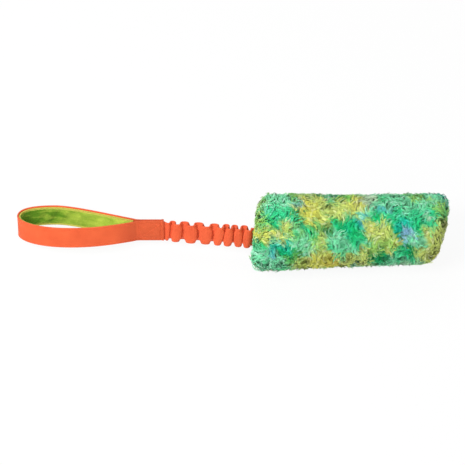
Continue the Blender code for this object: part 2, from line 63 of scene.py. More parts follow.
view_distance = 2.2
view_rise = math.radians(50)
view_target = Vector((0.0, 0.0, 0.036))

camera_data = bpy.data.cameras.new("camera")
camera_data.sensor_width = 36
camera_data.lens = camera_data.sensor_width * view_distance / (image_size * metres_per_pixel)
camera = bpy.data.objects.new("camera", camera_data)
bpy.context.scene.collection.objects.link(camera)
camera.location = view_target + view_distance * Vector((0, -math.cos(view_rise), math.sin(view_rise)))
camera.rotation_euler = (math.pi / 2 - view_rise, 0, 0)
bpy.context.scene.camera = camera
bpy.context.scene.view_settings.view_transform = "Standard"

# Studio: a pale floor that is white to the camera but for the toy's own soft shadow, one large
# soft lamp above the left front, weaker ones from the right and from behind, and an even sky.
floor_size = 8.0
floor_white = 0.86
floor_glow_share = 0.92
lamps = {
    "key_light": {"bearing": -58, "rise": 50, "distance": 1.8, "size": 0.9, "level": 0.84},
    "fill_light": {"bearing": 20, "rise": 42, "distance": 2.0, "size": 1.4, "level": 0.22},
    "rear_light": {"bearing": 180, "rise": 48, "distance": 2.0, "size": 1.4, "level": 0.28},
}
sky_level = 0.32


def add_node(finish, kind, inputs=None, **settings):
    """A shader node. Each input is a value, or the output socket that feeds it."""
    made = finish.node_tree.nodes.new(kind)
    for name, value in settings.items():
        setattr(made, name, value)
    for name, value in (inputs or {}).items():
        if isinstance(value, bpy.types.NodeSocket):
            finish.node_tree.links.new(value, made.inputs[name])
        else:
            made.inputs[name].default_value = value
    return made


def floor_finish():
    """White to the camera and in reflections, with part of the real shading left for shadows."""
    finish = bpy.data.materials.new("pale_floor")
    finish.use_nodes = True
    finish.node_tree.nodes.clear()
    rays = add_node(finish, "ShaderNodeLightPath")
    seen = add_node(finish, "ShaderNodeMath", {0: rays.outputs["Is Camera Ray"],
                                               1: rays.outputs["Is Glossy Ray"]}, operation="MAXIMUM")
    share = add_node(finish, "ShaderNodeMath", {0: seen.outputs[0], 1: floor_glow_share},
                     operation="MULTIPLY")
    matt = add_node(finish, "ShaderNodeBsdfDiffuse", {"Color": (floor_white, floor_white, floor_white, 1)})
    glow = add_node(finish, "ShaderNodeEmission", {"Color": (1, 1, 1, 1), "Strength": 1.0})
    mixed = add_node(finish, "ShaderNodeMixShader", {0: share.outputs[0], 1: matt.outputs[0],
                                                     2: glow.outputs[0]})
    add_node(finish, "ShaderNodeOutputMaterial", {"Surface": mixed.outputs[0]})
    return finish


bpy.ops.object.select_all(action="DESELECT")
bpy.ops.mesh.primitive_plane_add(size=floor_size)
studio_floor = bpy.context.object
studio_floor.name = "studio_floor"
studio_floor.data.materials.append(floor_finish())

for name, lamp in lamps.items():
    lamp_data = bpy.data.lights.new(name, "AREA")
    lamp_data.shape = "DISK"
    lamp_data.size = lamp["size"]
    lamp_data.energy = lamp["level"] * (math.pi * lamp["distance"]) ** 2
    lamp_object = bpy.data.objects.new(name, lamp_data)
    bpy.context.scene.collection.objects.link(lamp_object)
    bearing, rise = math.radians(lamp["bearing"]), math.radians(lamp["rise"])
    towards = Vector((math.sin(bearing) * math.cos(rise), -math.cos(bearing) * math.cos(rise),
                      math.sin(rise)))
    lamp_object.location = lamp["distance"] * towards
    lamp_object.rotation_euler = towards.to_track_quat("Z", "Y").to_euler()

sky = bpy.data.worlds.new("studio_sky")
bpy.context.scene.world = sky
sky.use_nodes = True
sky.node_tree.nodes.clear()
sky_rays = add_node(sky, "ShaderNodeLightPath")
sky_seen = add_node(sky, "ShaderNodeMath", {0: sky_rays.outputs["Is Camera Ray"],
                                            1: sky_rays.outputs["Is Glossy Ray"]}, operation="MAXIMUM")
sky_strength = add_node(sky, "ShaderNodeMapRange", {"Value": sky_seen.outputs[0], "To Min": sky_level,
                                                    "To Max": 1.0})
sky_glow = add_node(sky, "ShaderNodeBackground", {"Color": (1, 1, 1, 1),
                                                  "Strength": sky_strength.outputs[0]})
add_node(sky, "ShaderNodeOutputWorld", {"Surface": sky_glow.outputs[0]})

# Handle webbing: one strip of 25 mm ribbed webbing, folded into the hand loop. Its two ends meet
# in the neck, where they are sewn together over the bungee's end.
webbing_width = 0.025
webbing_thickness = 0.0015
webbing_rib_pitch = 0.00125
webbing_rib_height = 0.00007
selvedge_width = 0.0016
selvedge_bead = 0.00022
hem_length = 0.0028
hem_height = 0.0005
hem_step = 0.0007
sewn_gap = 0.0003
edge_row_inset = 0.0026
stitch_groove = 0.00028
stitch_groove_width = 0.0007
loop_length = 0.1355
rear_belly = 0.0344
front_belly = 0.0180
bend_depth = 0.012
neck_length = 0.0314
neck_pinch = 0.0011
pinch_reach = 0.006
pinch_from = 0.35
row_fade = 0.004
wave_height = 0.00025
wave_lengths = (0.021, 0.0083)
edge_softness = 0.42
warp_pitch = 0.0009
# How dark the webbing is over the neck at each end of the strip.
darker_end_level = 0.82
neck_box_length = 0.024
neck_box_width = 0.018
neck_offset = 0.00275
handle_lean = math.radians(20)
bungee_length = 0.1046
bungee_sweep = math.radians(8.3)
roll_yaw = math.radians(2.4)
neck_band = 0.003
mouth_band = 0.002
sleeve_tail = 0.026

joint_places = {joint["name"]: joint for joint in frame["joints"]}
mouth = Vector(joint_places["tug_swing"]["pos_m"])
toy_plane = np.array(Matrix.Translation(mouth) @ Matrix.Rotation(-handle_lean, 4, "X"))


def ease(share):
    share = np.clip(share, 0, 1)
    return share * share * (3 - 2 * share)


def heading(along):
    """The centreline's direction: straight in the neck, swept forward down the bungee, and in
    line with the roll from its mouth on. along is measured from the neck's end."""
    leaving = ease(along / (2 * neck_band))
    arriving = ease((along - bungee_length) / (4 * mouth_band) + 1)
    return (bungee_sweep + roll_yaw) * arriving - bungee_sweep * leaving


centre_step = 0.00025
centre_along = np.arange(0, bungee_length + sleeve_tail + 0.01, centre_step)
centre_turns = heading(centre_along[:-1] + centre_step / 2)
centre_x = np.concatenate([[0], np.cumsum(centre_step * np.cos(centre_turns))])
centre_depth = np.concatenate([[0], np.cumsum(centre_step * np.sin(centre_turns))])
centre_x -= np.interp(bungee_length, centre_along, centre_x)
centre_depth -= np.interp(bungee_length, centre_along, centre_depth)
neck_end = Vector((centre_x[0], centre_depth[0]))


def in_toy_plane(x, depth, rise):
    """World places of points in the toy's leaning plane: x along the toy from the mouth, depth to
    the rear and rise up the webbing's width."""
    flat = np.stack([x, depth, rise], axis=-1)
    return flat @ toy_plane[:3, :3].T + toy_plane[:3, 3]


def handle_spans():
    """The webbing's middle line, from its rear end in the neck round the loop to its front end, as
    cubic spans, in metres from the neck's end."""
    fork = -neck_length
    tip = fork - loop_length
    rear_at, front_at = tip + 0.30 * loop_length, tip + 0.46 * loop_length
    return [
        ((0, neck_offset), (fork / 3, neck_offset), (fork * 2 / 3, neck_offset), (fork, neck_offset)),
        ((fork, neck_offset), (fork - 0.12 * loop_length, 0.22 * rear_belly),
         (rear_at + 0.17 * loop_length, rear_belly), (rear_at, rear_belly)),
        ((rear_at, rear_belly), (rear_at - 0.20 * loop_length, rear_belly),
         (tip, bend_depth + 0.45 * rear_belly), (tip, bend_depth)),
        ((tip, bend_depth), (tip, bend_depth - 0.65 * front_belly),
         (front_at - 0.32 * loop_length, -front_belly), (front_at, -front_belly)),
        ((front_at, -front_belly), (front_at + 0.25 * loop_length, -front_belly),
         (fork - 0.12 * loop_length, -0.42 * front_belly), (fork, -neck_offset)),
        ((fork, -neck_offset), (fork * 2 / 3, -neck_offset), (fork / 3, -neck_offset),
         (0, -neck_offset)),
    ]


def handle_line(points_per_span=60):
    line = []
    for span in handle_spans():
        corners = [Vector((*(neck_end + Vector(corner)), 0)) for corner in span]
        line += interpolate_bezier(*corners, points_per_span)[:-1]
    line.append(Vector((neck_end.x, neck_end.y - neck_offset, 0)))
    return np.array([point.xy for point in line])


def line_lengths(line):
    return np.concatenate([[0], np.cumsum(np.linalg.norm(np.diff(line, axis=0), axis=1))])


def line_frames(line, along):
    """Places on a line, and the outward direction there, which lies to the right of the way."""
    lengths = line_lengths(line)
    ways = np.gradient(line, lengths, axis=0)
    place = np.stack([np.interp(along, lengths, line[:, i]) for i in (0, 1)], axis=-1)
    way = np.stack([np.interp(along, lengths, ways[:, i]) for i in (0, 1)], axis=-1)
    way /= np.linalg.norm(way, axis=1, keepdims=True)
    return place, np.stack([way[:, 1], -way[:, 0]], axis=-1)


def points_of(piece):
    places = np.empty(len(piece.data.vertices) * 3, np.float32)
    piece.data.vertices.foreach_get("co", places)
    return places.reshape(-1, 3).astype(float)


def set_points(piece, places):
    piece.data.vertices.foreach_set("co", np.asarray(places, np.float32).ravel())
    piece.data.update()


def loop_corners(mesh):
    """The number of the point at each corner of each face."""
    corners = np.empty(len(mesh.loops), np.int32)
    mesh.loops.foreach_get("vertex_index", corners)
    return corners


def set_flat_map(piece, flat):
    """Sets the UV map from a flat place of each point."""
    flat_map = piece.data.uv_layers.active.data
    flat_map.foreach_set("uv", flat[loop_corners(piece.data)].ravel())


def select_only(piece):
    bpy.ops.object.select_all(action="DESELECT")
    bpy.context.view_layer.objects.active = piece
    piece.select_set(True)


def apply_modifiers(piece):
    select_only(piece)
    for modifier in list(piece.modifiers):
        bpy.ops.object.modifier_apply(modifier=modifier.name)


def flat_strap(name, length, width, thickness, along_steps, across_steps):
    """A flat strap with soft edges: along x from 0, its width on y and its outer face up. Its UV
    map is in metres along and across."""
    bpy.ops.object.select_all(action="DESELECT")
    bpy.ops.mesh.primitive_grid_add(x_subdivisions=along_steps, y_subdivisions=across_steps, size=1)
    strap = bpy.context.object
    strap.name = strap.data.name = name
    bpy.ops.object.mode_set(mode="EDIT")
    bpy.ops.mesh.select_all(action="SELECT")
    bpy.ops.transform.resize(value=(length, width, 1))
    bpy.ops.transform.translate(value=(length / 2, 0, 0))
    bpy.ops.object.mode_set(mode="OBJECT")
    wall = strap.modifiers.new("thickness", "SOLIDIFY")
    wall.thickness = thickness
    wall.offset = 0
    edges = strap.modifiers.new("soft_edges", "BEVEL")
    edges.width = edge_softness * thickness
    edges.segments = 3
    edges.limit_method = "ANGLE"
    edges.angle_limit = math.radians(60)
    apply_modifiers(strap)
    set_flat_map(strap, points_of(strap)[:, :2])
    return strap


def lay_on_line(strap, line, start=0.0):
    """Bends a flat strap onto a line in the toy's plane, its outer face away from the line's left."""
    flat = points_of(strap)
    place, outward = line_frames(line, flat[:, 0] + start)
    place += outward * flat[:, 2:3]
    set_points(strap, in_toy_plane(place[:, 0], place[:, 1], flat[:, 1]))
    strap.data.shade_smooth()
    return strap


def groove(distance, depth=stitch_groove, width=stitch_groove_width):
    """How far cloth is drawn in beside a row of stitches."""
    return depth * np.exp(-((distance / width) ** 2))


def box_line_distance(x, y, length, width):
    """The distance to the nearest line of a sewn box with a cross in it."""
    x, y = np.abs(x), np.abs(y)
    half_x, half_y = length / 2, width / 2
    to_box = np.where((x <= half_x) & (y <= half_y), np.minimum(half_x - x, half_y - y),
                      np.hypot(np.maximum(x - half_x, 0), np.maximum(y - half_y, 0)))
    to_cross = np.abs(x * half_y - y * half_x) / math.hypot(half_x, half_y)
    to_cross = np.where((x <= half_x) & (y <= half_y), to_cross, 1.0)
    return np.minimum(to_box, to_cross)


webbing_line = handle_line()
webbing_length = line_lengths(webbing_line)[-1]


def from_neck(along):
    """The distance of a place on the webbing from its nearer end."""
    return np.minimum(along, webbing_length - along)


def in_neck(along):
    return ease((neck_length + pinch_reach - from_neck(along)) / (2 * pinch_reach))


def pinch_at(along, across):
    """How far the neck's edges are drawn in."""
    outer_share = (np.abs(across) * 2 / webbing_width - pinch_from) / (1 - pinch_from)
    return neck_pinch * in_neck(along) * ease(outer_share)


def shape_webbing(strap):
    """Ribs, selvedges, the drawn-in rows of stitches and the pinched edges of the neck."""
    flat = points_of(strap)
    along, across, height = flat.T
    in_selvedge = (webbing_width / 2 - np.abs(across)) / selvedge_width
    inside = ease(in_selvedge)
    bead = selvedge_bead * np.sin(np.pi * np.clip(in_selvedge, 0, 1))
    rib = webbing_rib_height * np.cos(2 * np.pi * along / webbing_rib_pitch) * inside
    row = groove(np.abs(across) - (webbing_width / 2 - edge_row_inset))
    row *= ease((from_neck(along) - neck_length) / row_fade)
    box = groove(box_line_distance(from_neck(along) - neck_length / 2, across, neck_box_length,
                                   neck_box_width))
    outer = np.sign(height)
    hem = hem_height * ease((hem_length - from_neck(along)) / hem_step)
    hem -= groove(from_neck(along) - hem_length - hem_step)
    height += outer * (rib + bead) - np.where(outer > 0, row + box - hem, 0)
    height -= pinch_at(along, across)
    wave = np.sin(along / wave_lengths[0]) * np.sin(along / wave_lengths[1] + 1.3)
    wave *= wave_height * (1 - in_neck(along))
    height += wave * np.cos(np.pi * across / webbing_width)
    set_points(strap, np.stack([along, across, height], axis=-1))


def linear(red, green, blue):
    """A colour as a shader takes it, from its sRGB values of 0 to 255."""
    shares = np.array([red, green, blue]) / 255
    return tuple(np.where(shares <= 0.04045, shares / 12.92, ((shares + 0.055) / 1.055) ** 2.4)) + (1.0,)


def maths(finish, operation, first, second=0.0):
    return add_node(finish, "ShaderNodeMath", {0: first, 1: second}, operation=operation).outputs[0]


def cloth_finish(name, roughness, sheen, sheen_tint=(1, 1, 1, 1)):
    """A principled cloth with a soft sheen. Returns it with its shader."""
    finish = bpy.data.materials.new(name)
    finish.use_nodes = True
    shader = finish.node_tree.nodes["Principled BSDF"]
    shader.inputs["Roughness"].default_value = roughness
    shader.inputs["Specular IOR Level"].default_value = 0.25
    shader.inputs["Sheen Weight"].default_value = sheen
    shader.inputs["Sheen Roughness"].default_value = 0.45
    shader.inputs["Sheen Tint"].default_value = sheen_tint
    return finish, shader


def colour_ramp(finish, level, low_colour, high_colour, low=0.0, high=1.0):
    """A colour that turns from one to the other as a level rises from low to high."""
    ramp = add_node(finish, "ShaderNodeValToRGB", {"Fac": level})
    for stop, place, colour in zip(ramp.color_ramp.elements, (low, high), (low_colour, high_colour)):
        stop.position = place
        stop.color = colour
    return ramp.outputs[0]


def level_range(finish, value, reach, levels, **settings):
    """A level that goes from the first to the second of levels as a value goes through reach."""
    return add_node(finish, "ShaderNodeMapRange", {
        "Value": value, "From Min": reach[0], "From Max": reach[1], "To Min": levels[0],
        "To Max": levels[1]}, **settings).outputs[0]


def noise(finish, place, scale, detail, **settings):
    return add_node(finish, "ShaderNodeTexNoise", {"Vector": place, "Scale": scale, "Detail": detail,
                                                   **settings}).outputs[0]


def own_place(finish):
    return add_node(finish, "ShaderNodeTexCoord").outputs["Object"]


def flat_place(finish):
    """A strap's UV map: metres along it as X and across it as Y."""
    return add_node(finish, "ShaderNodeSeparateXYZ", {0: add_node(finish, "ShaderNodeUVMap").outputs[0]})


def dress(finish, shader, colour, height, strength, depth):
    """Gives a cloth its colour, and its fine relief as a bump of a strength and a depth."""
    bump = add_node(finish, "ShaderNodeBump", {"Height": height, "Strength": strength,
                                               "Distance": depth})
    finish.node_tree.links.new(colour, shader.inputs["Base Color"])
    finish.node_tree.links.new(bump.outputs[0], shader.inputs["Normal"])
    return finish


def weave(finish, across_pitch, along_pitch):
    """The height of a woven face, from the UV map: warp yarns that pass over and under the weft
    by turns, each a small rounded pillow."""
    place = flat_place(finish)
    column = maths(finish, "DIVIDE", place.outputs["Y"], across_pitch)
    shift = maths(finish, "MULTIPLY", maths(finish, "FLOOR", column), 0.5)
    row = maths(finish, "ADD", maths(finish, "DIVIDE", place.outputs["X"], along_pitch), shift)
    pillows = []
    for share in (column, row):
        turned = maths(finish, "MULTIPLY", maths(finish, "FRACT", share), math.pi)
        pillows.append(maths(finish, "SQRT", maths(finish, "SINE", turned)))
    return maths(finish, "MULTIPLY", *pillows)


def webbing_finish(name, colour, worn_colour, across_pitch, along_pitch, darker_end_length=0.0):
    """Woven webbing: yarn pillows, fibre streaks, a faint fading in soft patches, and a darker
    colour over a length at each end of a strip."""
    finish, shader = cloth_finish(name, 0.62, 0.12, linear(255, 170, 120))
    yarn = weave(finish, across_pitch, along_pitch)
    patches = noise(finish, own_place(finish), 55.0, 3.0)
    fibres = noise(finish, own_place(finish), 1400.0, 2.0)
    shade = maths(finish, "ADD", maths(finish, "MULTIPLY", patches, 0.55),
                  maths(finish, "MULTIPLY", fibres, 0.25))
    shade = maths(finish, "ADD", shade, maths(finish, "MULTIPLY", yarn, 0.35))
    colour_out = colour_ramp(finish, shade, colour, worn_colour, 0.25, 0.95)
    # Darker over a length at each end of the strip, which is the neck on the handle.
    if darker_end_length:
        from_start = flat_place(finish).outputs["X"]
        from_end = maths(finish, "MINIMUM", from_start,
                         maths(finish, "SUBTRACT", webbing_length, from_start))
        end_level = level_range(finish, from_end, (darker_end_length, 2 * darker_end_length), (darker_end_level, 1.0),
                            interpolation_type="SMOOTHSTEP")
        colour_out = add_node(finish, "ShaderNodeVectorMath", {0: colour_out, 3: end_level},
                              operation="SCALE").outputs[0]
    relief = maths(finish, "ADD", yarn, maths(finish, "MULTIPLY", fibres, 0.3))
    return dress(finish, shader, colour_out, relief, 0.5, 0.00012)


handle_strap = flat_strap("handle_strap", webbing_length, webbing_width, webbing_thickness, 1500, 22)
shape_webbing(handle_strap)
lay_on_line(handle_strap, webbing_line)
orange_webbing = webbing_finish("orange_webbing", linear(208, 76, 38), linear(240, 108, 60), warp_pitch,
                                2 * webbing_rib_pitch, darker_end_length=neck_length)
handle_strap.data.materials.append(orange_webbing)
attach(handle_strap, "handle")
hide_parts("handle_webbing")

# Loop lining: a soft brushed strip, sewn to the webbing's inner face from fork to fork. It is a
# little narrower than the webbing, and it ripples where the loop bends.
lining_thickness = 0.0020
lining_inset = 0.0012
lining_fork_clearance = 0.003
lining_fold_height = 0.00078
lining_nap = 0.00012
lining_groove = 0.0008
lining_groove_width = 0.0011
lining_drawn_flat = 0.004
lining_drawn_ends = 0.012
fold_slant = 0.9
fold_lengths = (0.0031, 0.0127, 0.0079)
fold_wander_length = 0.017
fold_fan_width = 0.012
fold_seed = 4
# Painted shade in the lining: a painted shadow inside the loop's bend that fades out along the strip, and
# streaks of painted shade in its creases near the bend.
bend_reach = (0.01, 0.13)
bend_shade = 0.72
crease_shade_reach = (0.02, 0.13)
crease_shade_strength = 0.7
streak_turn = math.radians(-24)
# Width and blur of the paler band along each edge, partly a painted highlight.
lining_edge = 0.0019
lining_edge_blur = 0.0005


def offset_line(line, distance):
    """A line moved outwards, or inwards for less than 0."""
    place, outward = line_frames(line, line_lengths(line))
    return place + outward * distance


def part_between_forks(line, clearance):
    return line[line[:, 0] < neck_end.x - neck_length - clearance]


def shape_lining(strap, length):
    """Soft slanting folds on the inner face, drawn flat beside the rows of stitches, and a nap."""
    flat = points_of(strap)
    along, across, height = flat.T
    slant = along + fold_slant * across
    folds = np.sin(slant / fold_lengths[0] + 1.6 * np.sin(along / fold_wander_length))
    folds *= 0.55 + 0.45 * np.sin(slant / fold_lengths[1] + 0.8)
    folds += 0.6 * np.sin(slant / fold_lengths[2] - 1.4 * across / fold_fan_width)
    row = np.abs(np.abs(across) - (webbing_width / 2 - edge_row_inset))
    free = ease(row / lining_drawn_flat) * ease(np.minimum(along, length - along) / lining_drawn_ends)
    inner = height < 0
    height[inner] -= (lining_fold_height * folds * free)[inner]
    height[inner] += groove(row, lining_groove, lining_groove_width)[inner]
    rng = np.random.default_rng(fold_seed)
    height[inner] += rng.normal(0, lining_nap, inner.sum())
    set_points(strap, np.stack([along, across, height], axis=-1))


def blended(finish, share, colour, other):
    """A colour with a share of the other one in it."""
    return add_node(finish, "ShaderNodeMix", {"Factor": share, 6: colour, 7: other},
                    data_type="RGBA").outputs[2]


def lining_finish():
    """Brushed fleece with a strong sheen: a soft nap that is lighter at its tips, a painted shadow that
    deepens it in the bend with streaks of painted shade in its creases there, and a paler band along
    each edge, partly the paler cut pile and partly a painted highlight."""
    finish, shader = cloth_finish("lime_lining", 0.95, 0.55, linear(225, 240, 130))
    nap = noise(finish, own_place(finish), 900.0, 4.0)
    rubbed = noise(finish, own_place(finish), 120.0, 3.0)
    shade = maths(finish, "MULTIPLY", maths(finish, "ADD", nap, rubbed), 0.5)
    face = colour_ramp(finish, shade, linear(146, 178, 48), linear(200, 214, 86), 0.3, 0.7)

    strip = flat_place(finish)
    # A painted shadow inside the bend: strongest at the middle of the strip, where the loop bends, and
    # gone further off.
    from_bend = maths(finish, "ABSOLUTE", maths(finish, "SUBTRACT", strip.outputs["X"], lining_length / 2))
    in_bend = level_range(finish, from_bend, bend_reach, (bend_shade, 0.0),
                          interpolation_type="SMOOTHSTEP")
    # Streaks of painted shade in the creases, slanting across the strip and fading away from the bend.
    brushed = add_node(finish, "ShaderNodeMapping", {0: add_node(finish, "ShaderNodeUVMap").outputs[0],
                                                     "Rotation": (0, 0, streak_turn),
                                                     "Scale": (38.0, 170.0, 1.0)})
    streaks = noise(finish, brushed.outputs[0], 1.0, 2.0)
    painted_crease_shade = maths(finish, "MULTIPLY", level_range(finish, streaks, (0.38, 0.58), (crease_shade_strength, 0.0)),
                    level_range(finish, from_bend, crease_shade_reach, (1.0, 0.15)))
    # Both painted shades mix the face towards a deep green.
    depth = maths(finish, "MINIMUM", maths(finish, "ADD", in_bend, painted_crease_shade), 1.0)
    shaded = blended(finish, depth, face, linear(84, 128, 22))

    # A paler band along each edge: partly the paler cut pile there, partly a painted highlight where the
    # edge catches the light.
    edge_from = lining_width / 2 - lining_edge
    at_edge = level_range(finish, maths(finish, "ABSOLUTE", strip.outputs["Y"]),
                          (edge_from - lining_edge_blur, edge_from), (0.0, 1.0))
    edged = blended(finish, at_edge, shaded, linear(194, 188, 84))
    return dress(finish, shader, edged, nap, 0.6, 0.0003)


lining_width = webbing_width - 2 * lining_inset
lining_offset = webbing_thickness / 2 + sewn_gap + lining_thickness / 2
lining_line = part_between_forks(offset_line(webbing_line, -lining_offset), lining_fork_clearance)
lining_length = line_lengths(lining_line)[-1]
loop_lining = flat_strap("loop_lining", lining_length, lining_width, lining_thickness, 700, 44)
shape_lining(loop_lining, lining_length)
lay_on_line(loop_lining, lining_line)
loop_lining.data.materials.append(lining_finish())
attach(loop_lining, "handle")
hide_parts("handle_lining")

# Edge stitching: two rows of lockstitch in orange polyester thread, one along each edge of the loop.
# They are sewn through webbing and lining, from one side of the neck round to the other.
thread_radius = 0.00026
stitch_length = 0.0023
stitch_pitch = 0.0030
stitch_sides = 6
stitch_cuts = (-0.42, -0.25, 0, 0.25, 0.42)
stitch_slimming = 0.35
stitch_dip = 1.6
stitch_stand = 0.6


def stitch_model(name, length, radius):
    """One stitch: a short thread along x that dips into the cloth at both ends."""
    bpy.ops.object.select_all(action="DESELECT")
    bpy.ops.mesh.primitive_cylinder_add(vertices=stitch_sides, radius=radius, depth=length,
                                        end_fill_type="TRIFAN", rotation=(0, math.pi / 2, 0))
    stitch = bpy.context.object
    stitch.name = stitch.data.name = name
    bpy.ops.object.transform_apply(location=True, rotation=True, scale=True)
    bpy.ops.object.mode_set(mode="EDIT")
    for share in stitch_cuts:
        bpy.ops.mesh.select_all(action="SELECT")
        bpy.ops.mesh.bisect(plane_co=(share * length, 0, 0), plane_no=(1, 0, 0))
    bpy.ops.object.mode_set(mode="OBJECT")
    places = points_of(stitch)
    reach = np.abs(places[:, 0]) * 2 / length
    slim = 1 - stitch_slimming * reach ** 3
    places[:, 1] *= slim
    places[:, 2] = places[:, 2] * slim - stitch_dip * radius * reach ** 3
    set_points(stitch, places)
    return stitch


def copies_of(model, name, places):
    """One piece made of many copies of a modelled shape, each copy with its points at its own
    places."""
    count, size = places.shape[:2]
    corners = loop_corners(model.data)
    starts = np.empty(len(model.data.polygons), np.int32)
    model.data.polygons.foreach_get("loop_start", starts)
    number = np.arange(count)[:, None]
    mesh = bpy.data.meshes.new(name)
    mesh.vertices.add(count * size)
    mesh.vertices.foreach_set("co", places.astype(np.float32).ravel())
    mesh.loops.add(count * len(corners))
    mesh.loops.foreach_set("vertex_index", (corners + size * number).astype(np.int32).ravel())
    mesh.polygons.add(count * len(starts))
    mesh.polygons.foreach_set("loop_start", (starts + len(corners) * number).astype(np.int32).ravel())
    mesh.update(calc_edges=True)
    mesh.shade_smooth()
    piece = bpy.data.objects.new(name, mesh)
    bpy.context.scene.collection.objects.link(piece)
    return piece


def sewn(model, name, centres, ways, outs):
    """Copies of a stitch, each at its centre along its way, with its back out of the cloth."""
    sides = np.cross(outs, ways)
    shape = points_of(model)
    places = centres[:, None] + sum(shape[None, :, i, None] * axis[:, None]
                                    for i, axis in enumerate((ways, sides, outs)))
    return copies_of(model, name, places)


def thread_finish():
    """Twisted polyester thread: slanting ply lines and a silky sheen."""
    finish, shader = cloth_finish("orange_thread", 0.45, 0.3, linear(255, 190, 150))
    ply = add_node(finish, "ShaderNodeTexWave", {"Vector": own_place(finish), "Scale": 900.0,
                                                 "Distortion": 1.5}, bands_direction="DIAGONAL").outputs[1]
    colour = colour_ramp(finish, ply, linear(212, 78, 44), linear(244, 116, 70))
    return dress(finish, shader, colour, ply, 0.4, 0.00008)


def on_webbing(along, across, height):
    """World places at a height over the webbing's middle line."""
    place, outward = line_frames(webbing_line, along)
    place = place + outward * np.broadcast_to(height, along.shape)[:, None]
    return in_toy_plane(place[:, 0], place[:, 1], np.broadcast_to(across, along.shape))


def stitches_on_webbing(model, name, along, across, turn, height):
    """Stitches lying on the webbing's outer face, each turned from its length by an angle."""
    small = 0.0002
    centres = on_webbing(along, across, height)
    ahead = on_webbing(along + small * np.cos(turn), across + small * np.sin(turn), height)
    ways = (ahead - centres) / small
    ways /= np.linalg.norm(ways, axis=1, keepdims=True)
    outs = on_webbing(along, across, height + small) - centres
    outs /= np.linalg.norm(outs, axis=1, keepdims=True)
    return sewn(model, name, centres, ways, outs)


orange_thread = thread_finish()
row_height = webbing_thickness / 2 - stitch_groove + stitch_stand * thread_radius
row_stitch = stitch_model("row_stitch", stitch_length, thread_radius)
for name, side in (("edge_stitching_upper", 1), ("edge_stitching_lower", -1)):
    row_along = np.arange(neck_length + stitch_pitch, webbing_length - neck_length, stitch_pitch)
    row_across = np.full(len(row_along), side * (webbing_width / 2 - edge_row_inset))
    row = stitches_on_webbing(row_stitch, name.replace("stitching", "row"), row_along, row_across,
                              np.zeros(len(row_along)), row_height)
    row.data.materials.append(orange_thread)
    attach(row, "handle")
    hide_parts(name)

# Neck box stitching: a box with a cross in it, sewn through both ends of the webbing and the
# bungee's end between them. It shows on the neck's front and rear faces.
box_stitch_length = 0.0021
box_stitch_pitch = 0.0027


def box_marks(length, width, pitch):
    """Middles and directions of the stitches of a box with a cross in it, flat, about its centre."""
    x, y = length / 2, width / 2
    corners = [(x, y), (-x, y), (-x, -y), (x, -y)]
    lines = [(corners[i], corners[(i + 1) % 4]) for i in range(4)]
    lines += [(corners[0], corners[2]), (corners[1], corners[3])]
    marks = []
    for start, end in lines:
        start, end = Vector(start), Vector(end)
        count = round((end - start).length / pitch)
        turn = math.atan2(end.y - start.y, end.x - start.x)
        marks += [(*start.lerp(end, (i + 0.5) / count), turn) for i in range(count)]
    return np.array(marks)


box_stitch = stitch_model("box_stitch", box_stitch_length, thread_radius)
for name, middle in (("neck_box_stitch_front", webbing_length - neck_length / 2),
                     ("neck_box_stitch_rear", neck_length / 2)):
    marks = box_marks(neck_box_length, neck_box_width, box_stitch_pitch)
    box_along, box_across = middle + marks[:, 0], marks[:, 1]
    box = stitches_on_webbing(box_stitch, name.replace("stitch", "threads"), box_along, box_across,
                              marks[:, 2], row_height - pinch_at(box_along, box_across))
    box.data.materials.append(orange_thread)
    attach(box, "handle")
    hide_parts(name)
for model in (row_stitch, box_stitch):
    bpy.data.objects.remove(model, do_unlink=True)

# Bungee sleeve: a tube of soft webbing, longer than the elastic inside it, so that it gathers into
# pleats, the last of them cut short at the mouth. It is made in four lengths, one for each joint
# that it crosses.
sleeve_width = 0.0235
sleeve_wall = 0.0008
sleeve_edge_thickness = 0.0022
sleeve_edge_steepness = 2.2
sleeve_yarn_pitch = 0.0007
elastic_width = 0.009
elastic_thickness = 0.0012
elastic_clearance = 0.0003
pleat_count = 7.5
pleat_depth = 0.0120
tight_share = 0.64
wide_pleats = (1.0, 3.7)
crest_spread = 0.20
crest_roundness = 1.5
crease_height = 0.0003
creases_per_pleat = 5
crease_slant = 1.9
crease_drift = 1.3
crease_beat = 1.3
fold_overhang = 0.13
pleat_growth = 0.35
pleat_slant = 0.10
slant_unevenness = 0.8
slant_beat = 1.7
pleat_unevenness = 0.12
pleat_beat = 2.4
first_pleat = 0.4
steps_per_pleat = 16
sleeve_sag = 0.0013
flat_end_reach = 0.003
rings_per_pleat = 44
points_across = 30
tail_rings = 39
pleated_length = bungee_length - neck_band - mouth_band
sleeve_half = elastic_thickness / 2 + elastic_clearance + sleeve_wall
pleat_swing = (pleat_depth - sleeve_edge_thickness) / 2
crest_height = pleat_depth / 2 - sleeve_half


def centre_at(along):
    """The centreline's point at a distance from the neck's end. Before it, it runs straight."""
    x = np.interp(along, centre_along, centre_x) + np.minimum(along, 0)
    return np.stack([x, np.interp(along, centre_along, centre_depth)], axis=-1)


def to_rear(along):
    turned = heading(np.maximum(along, 0))
    return np.stack([-np.sin(turned), np.cos(turned)], axis=-1)


pleat_steps = np.linspace(0, pleat_count, round(steps_per_pleat * pleat_count) + 1)
pleat_middles = (pleat_steps[1:] + pleat_steps[:-1]) / 2
wide_share = ease(pleat_middles - wide_pleats[0] + 0.5) * ease(wide_pleats[1] + 0.5 - pleat_middles)
pleat_sums = np.concatenate([[0], np.cumsum(tight_share + (1 - tight_share) * wide_share)])


def pleat_place(pleats):
    """How far from the neck's end a number of pleats reaches."""
    return neck_band + pleated_length * np.interp(pleats, pleat_steps, pleat_sums / pleat_sums[-1])


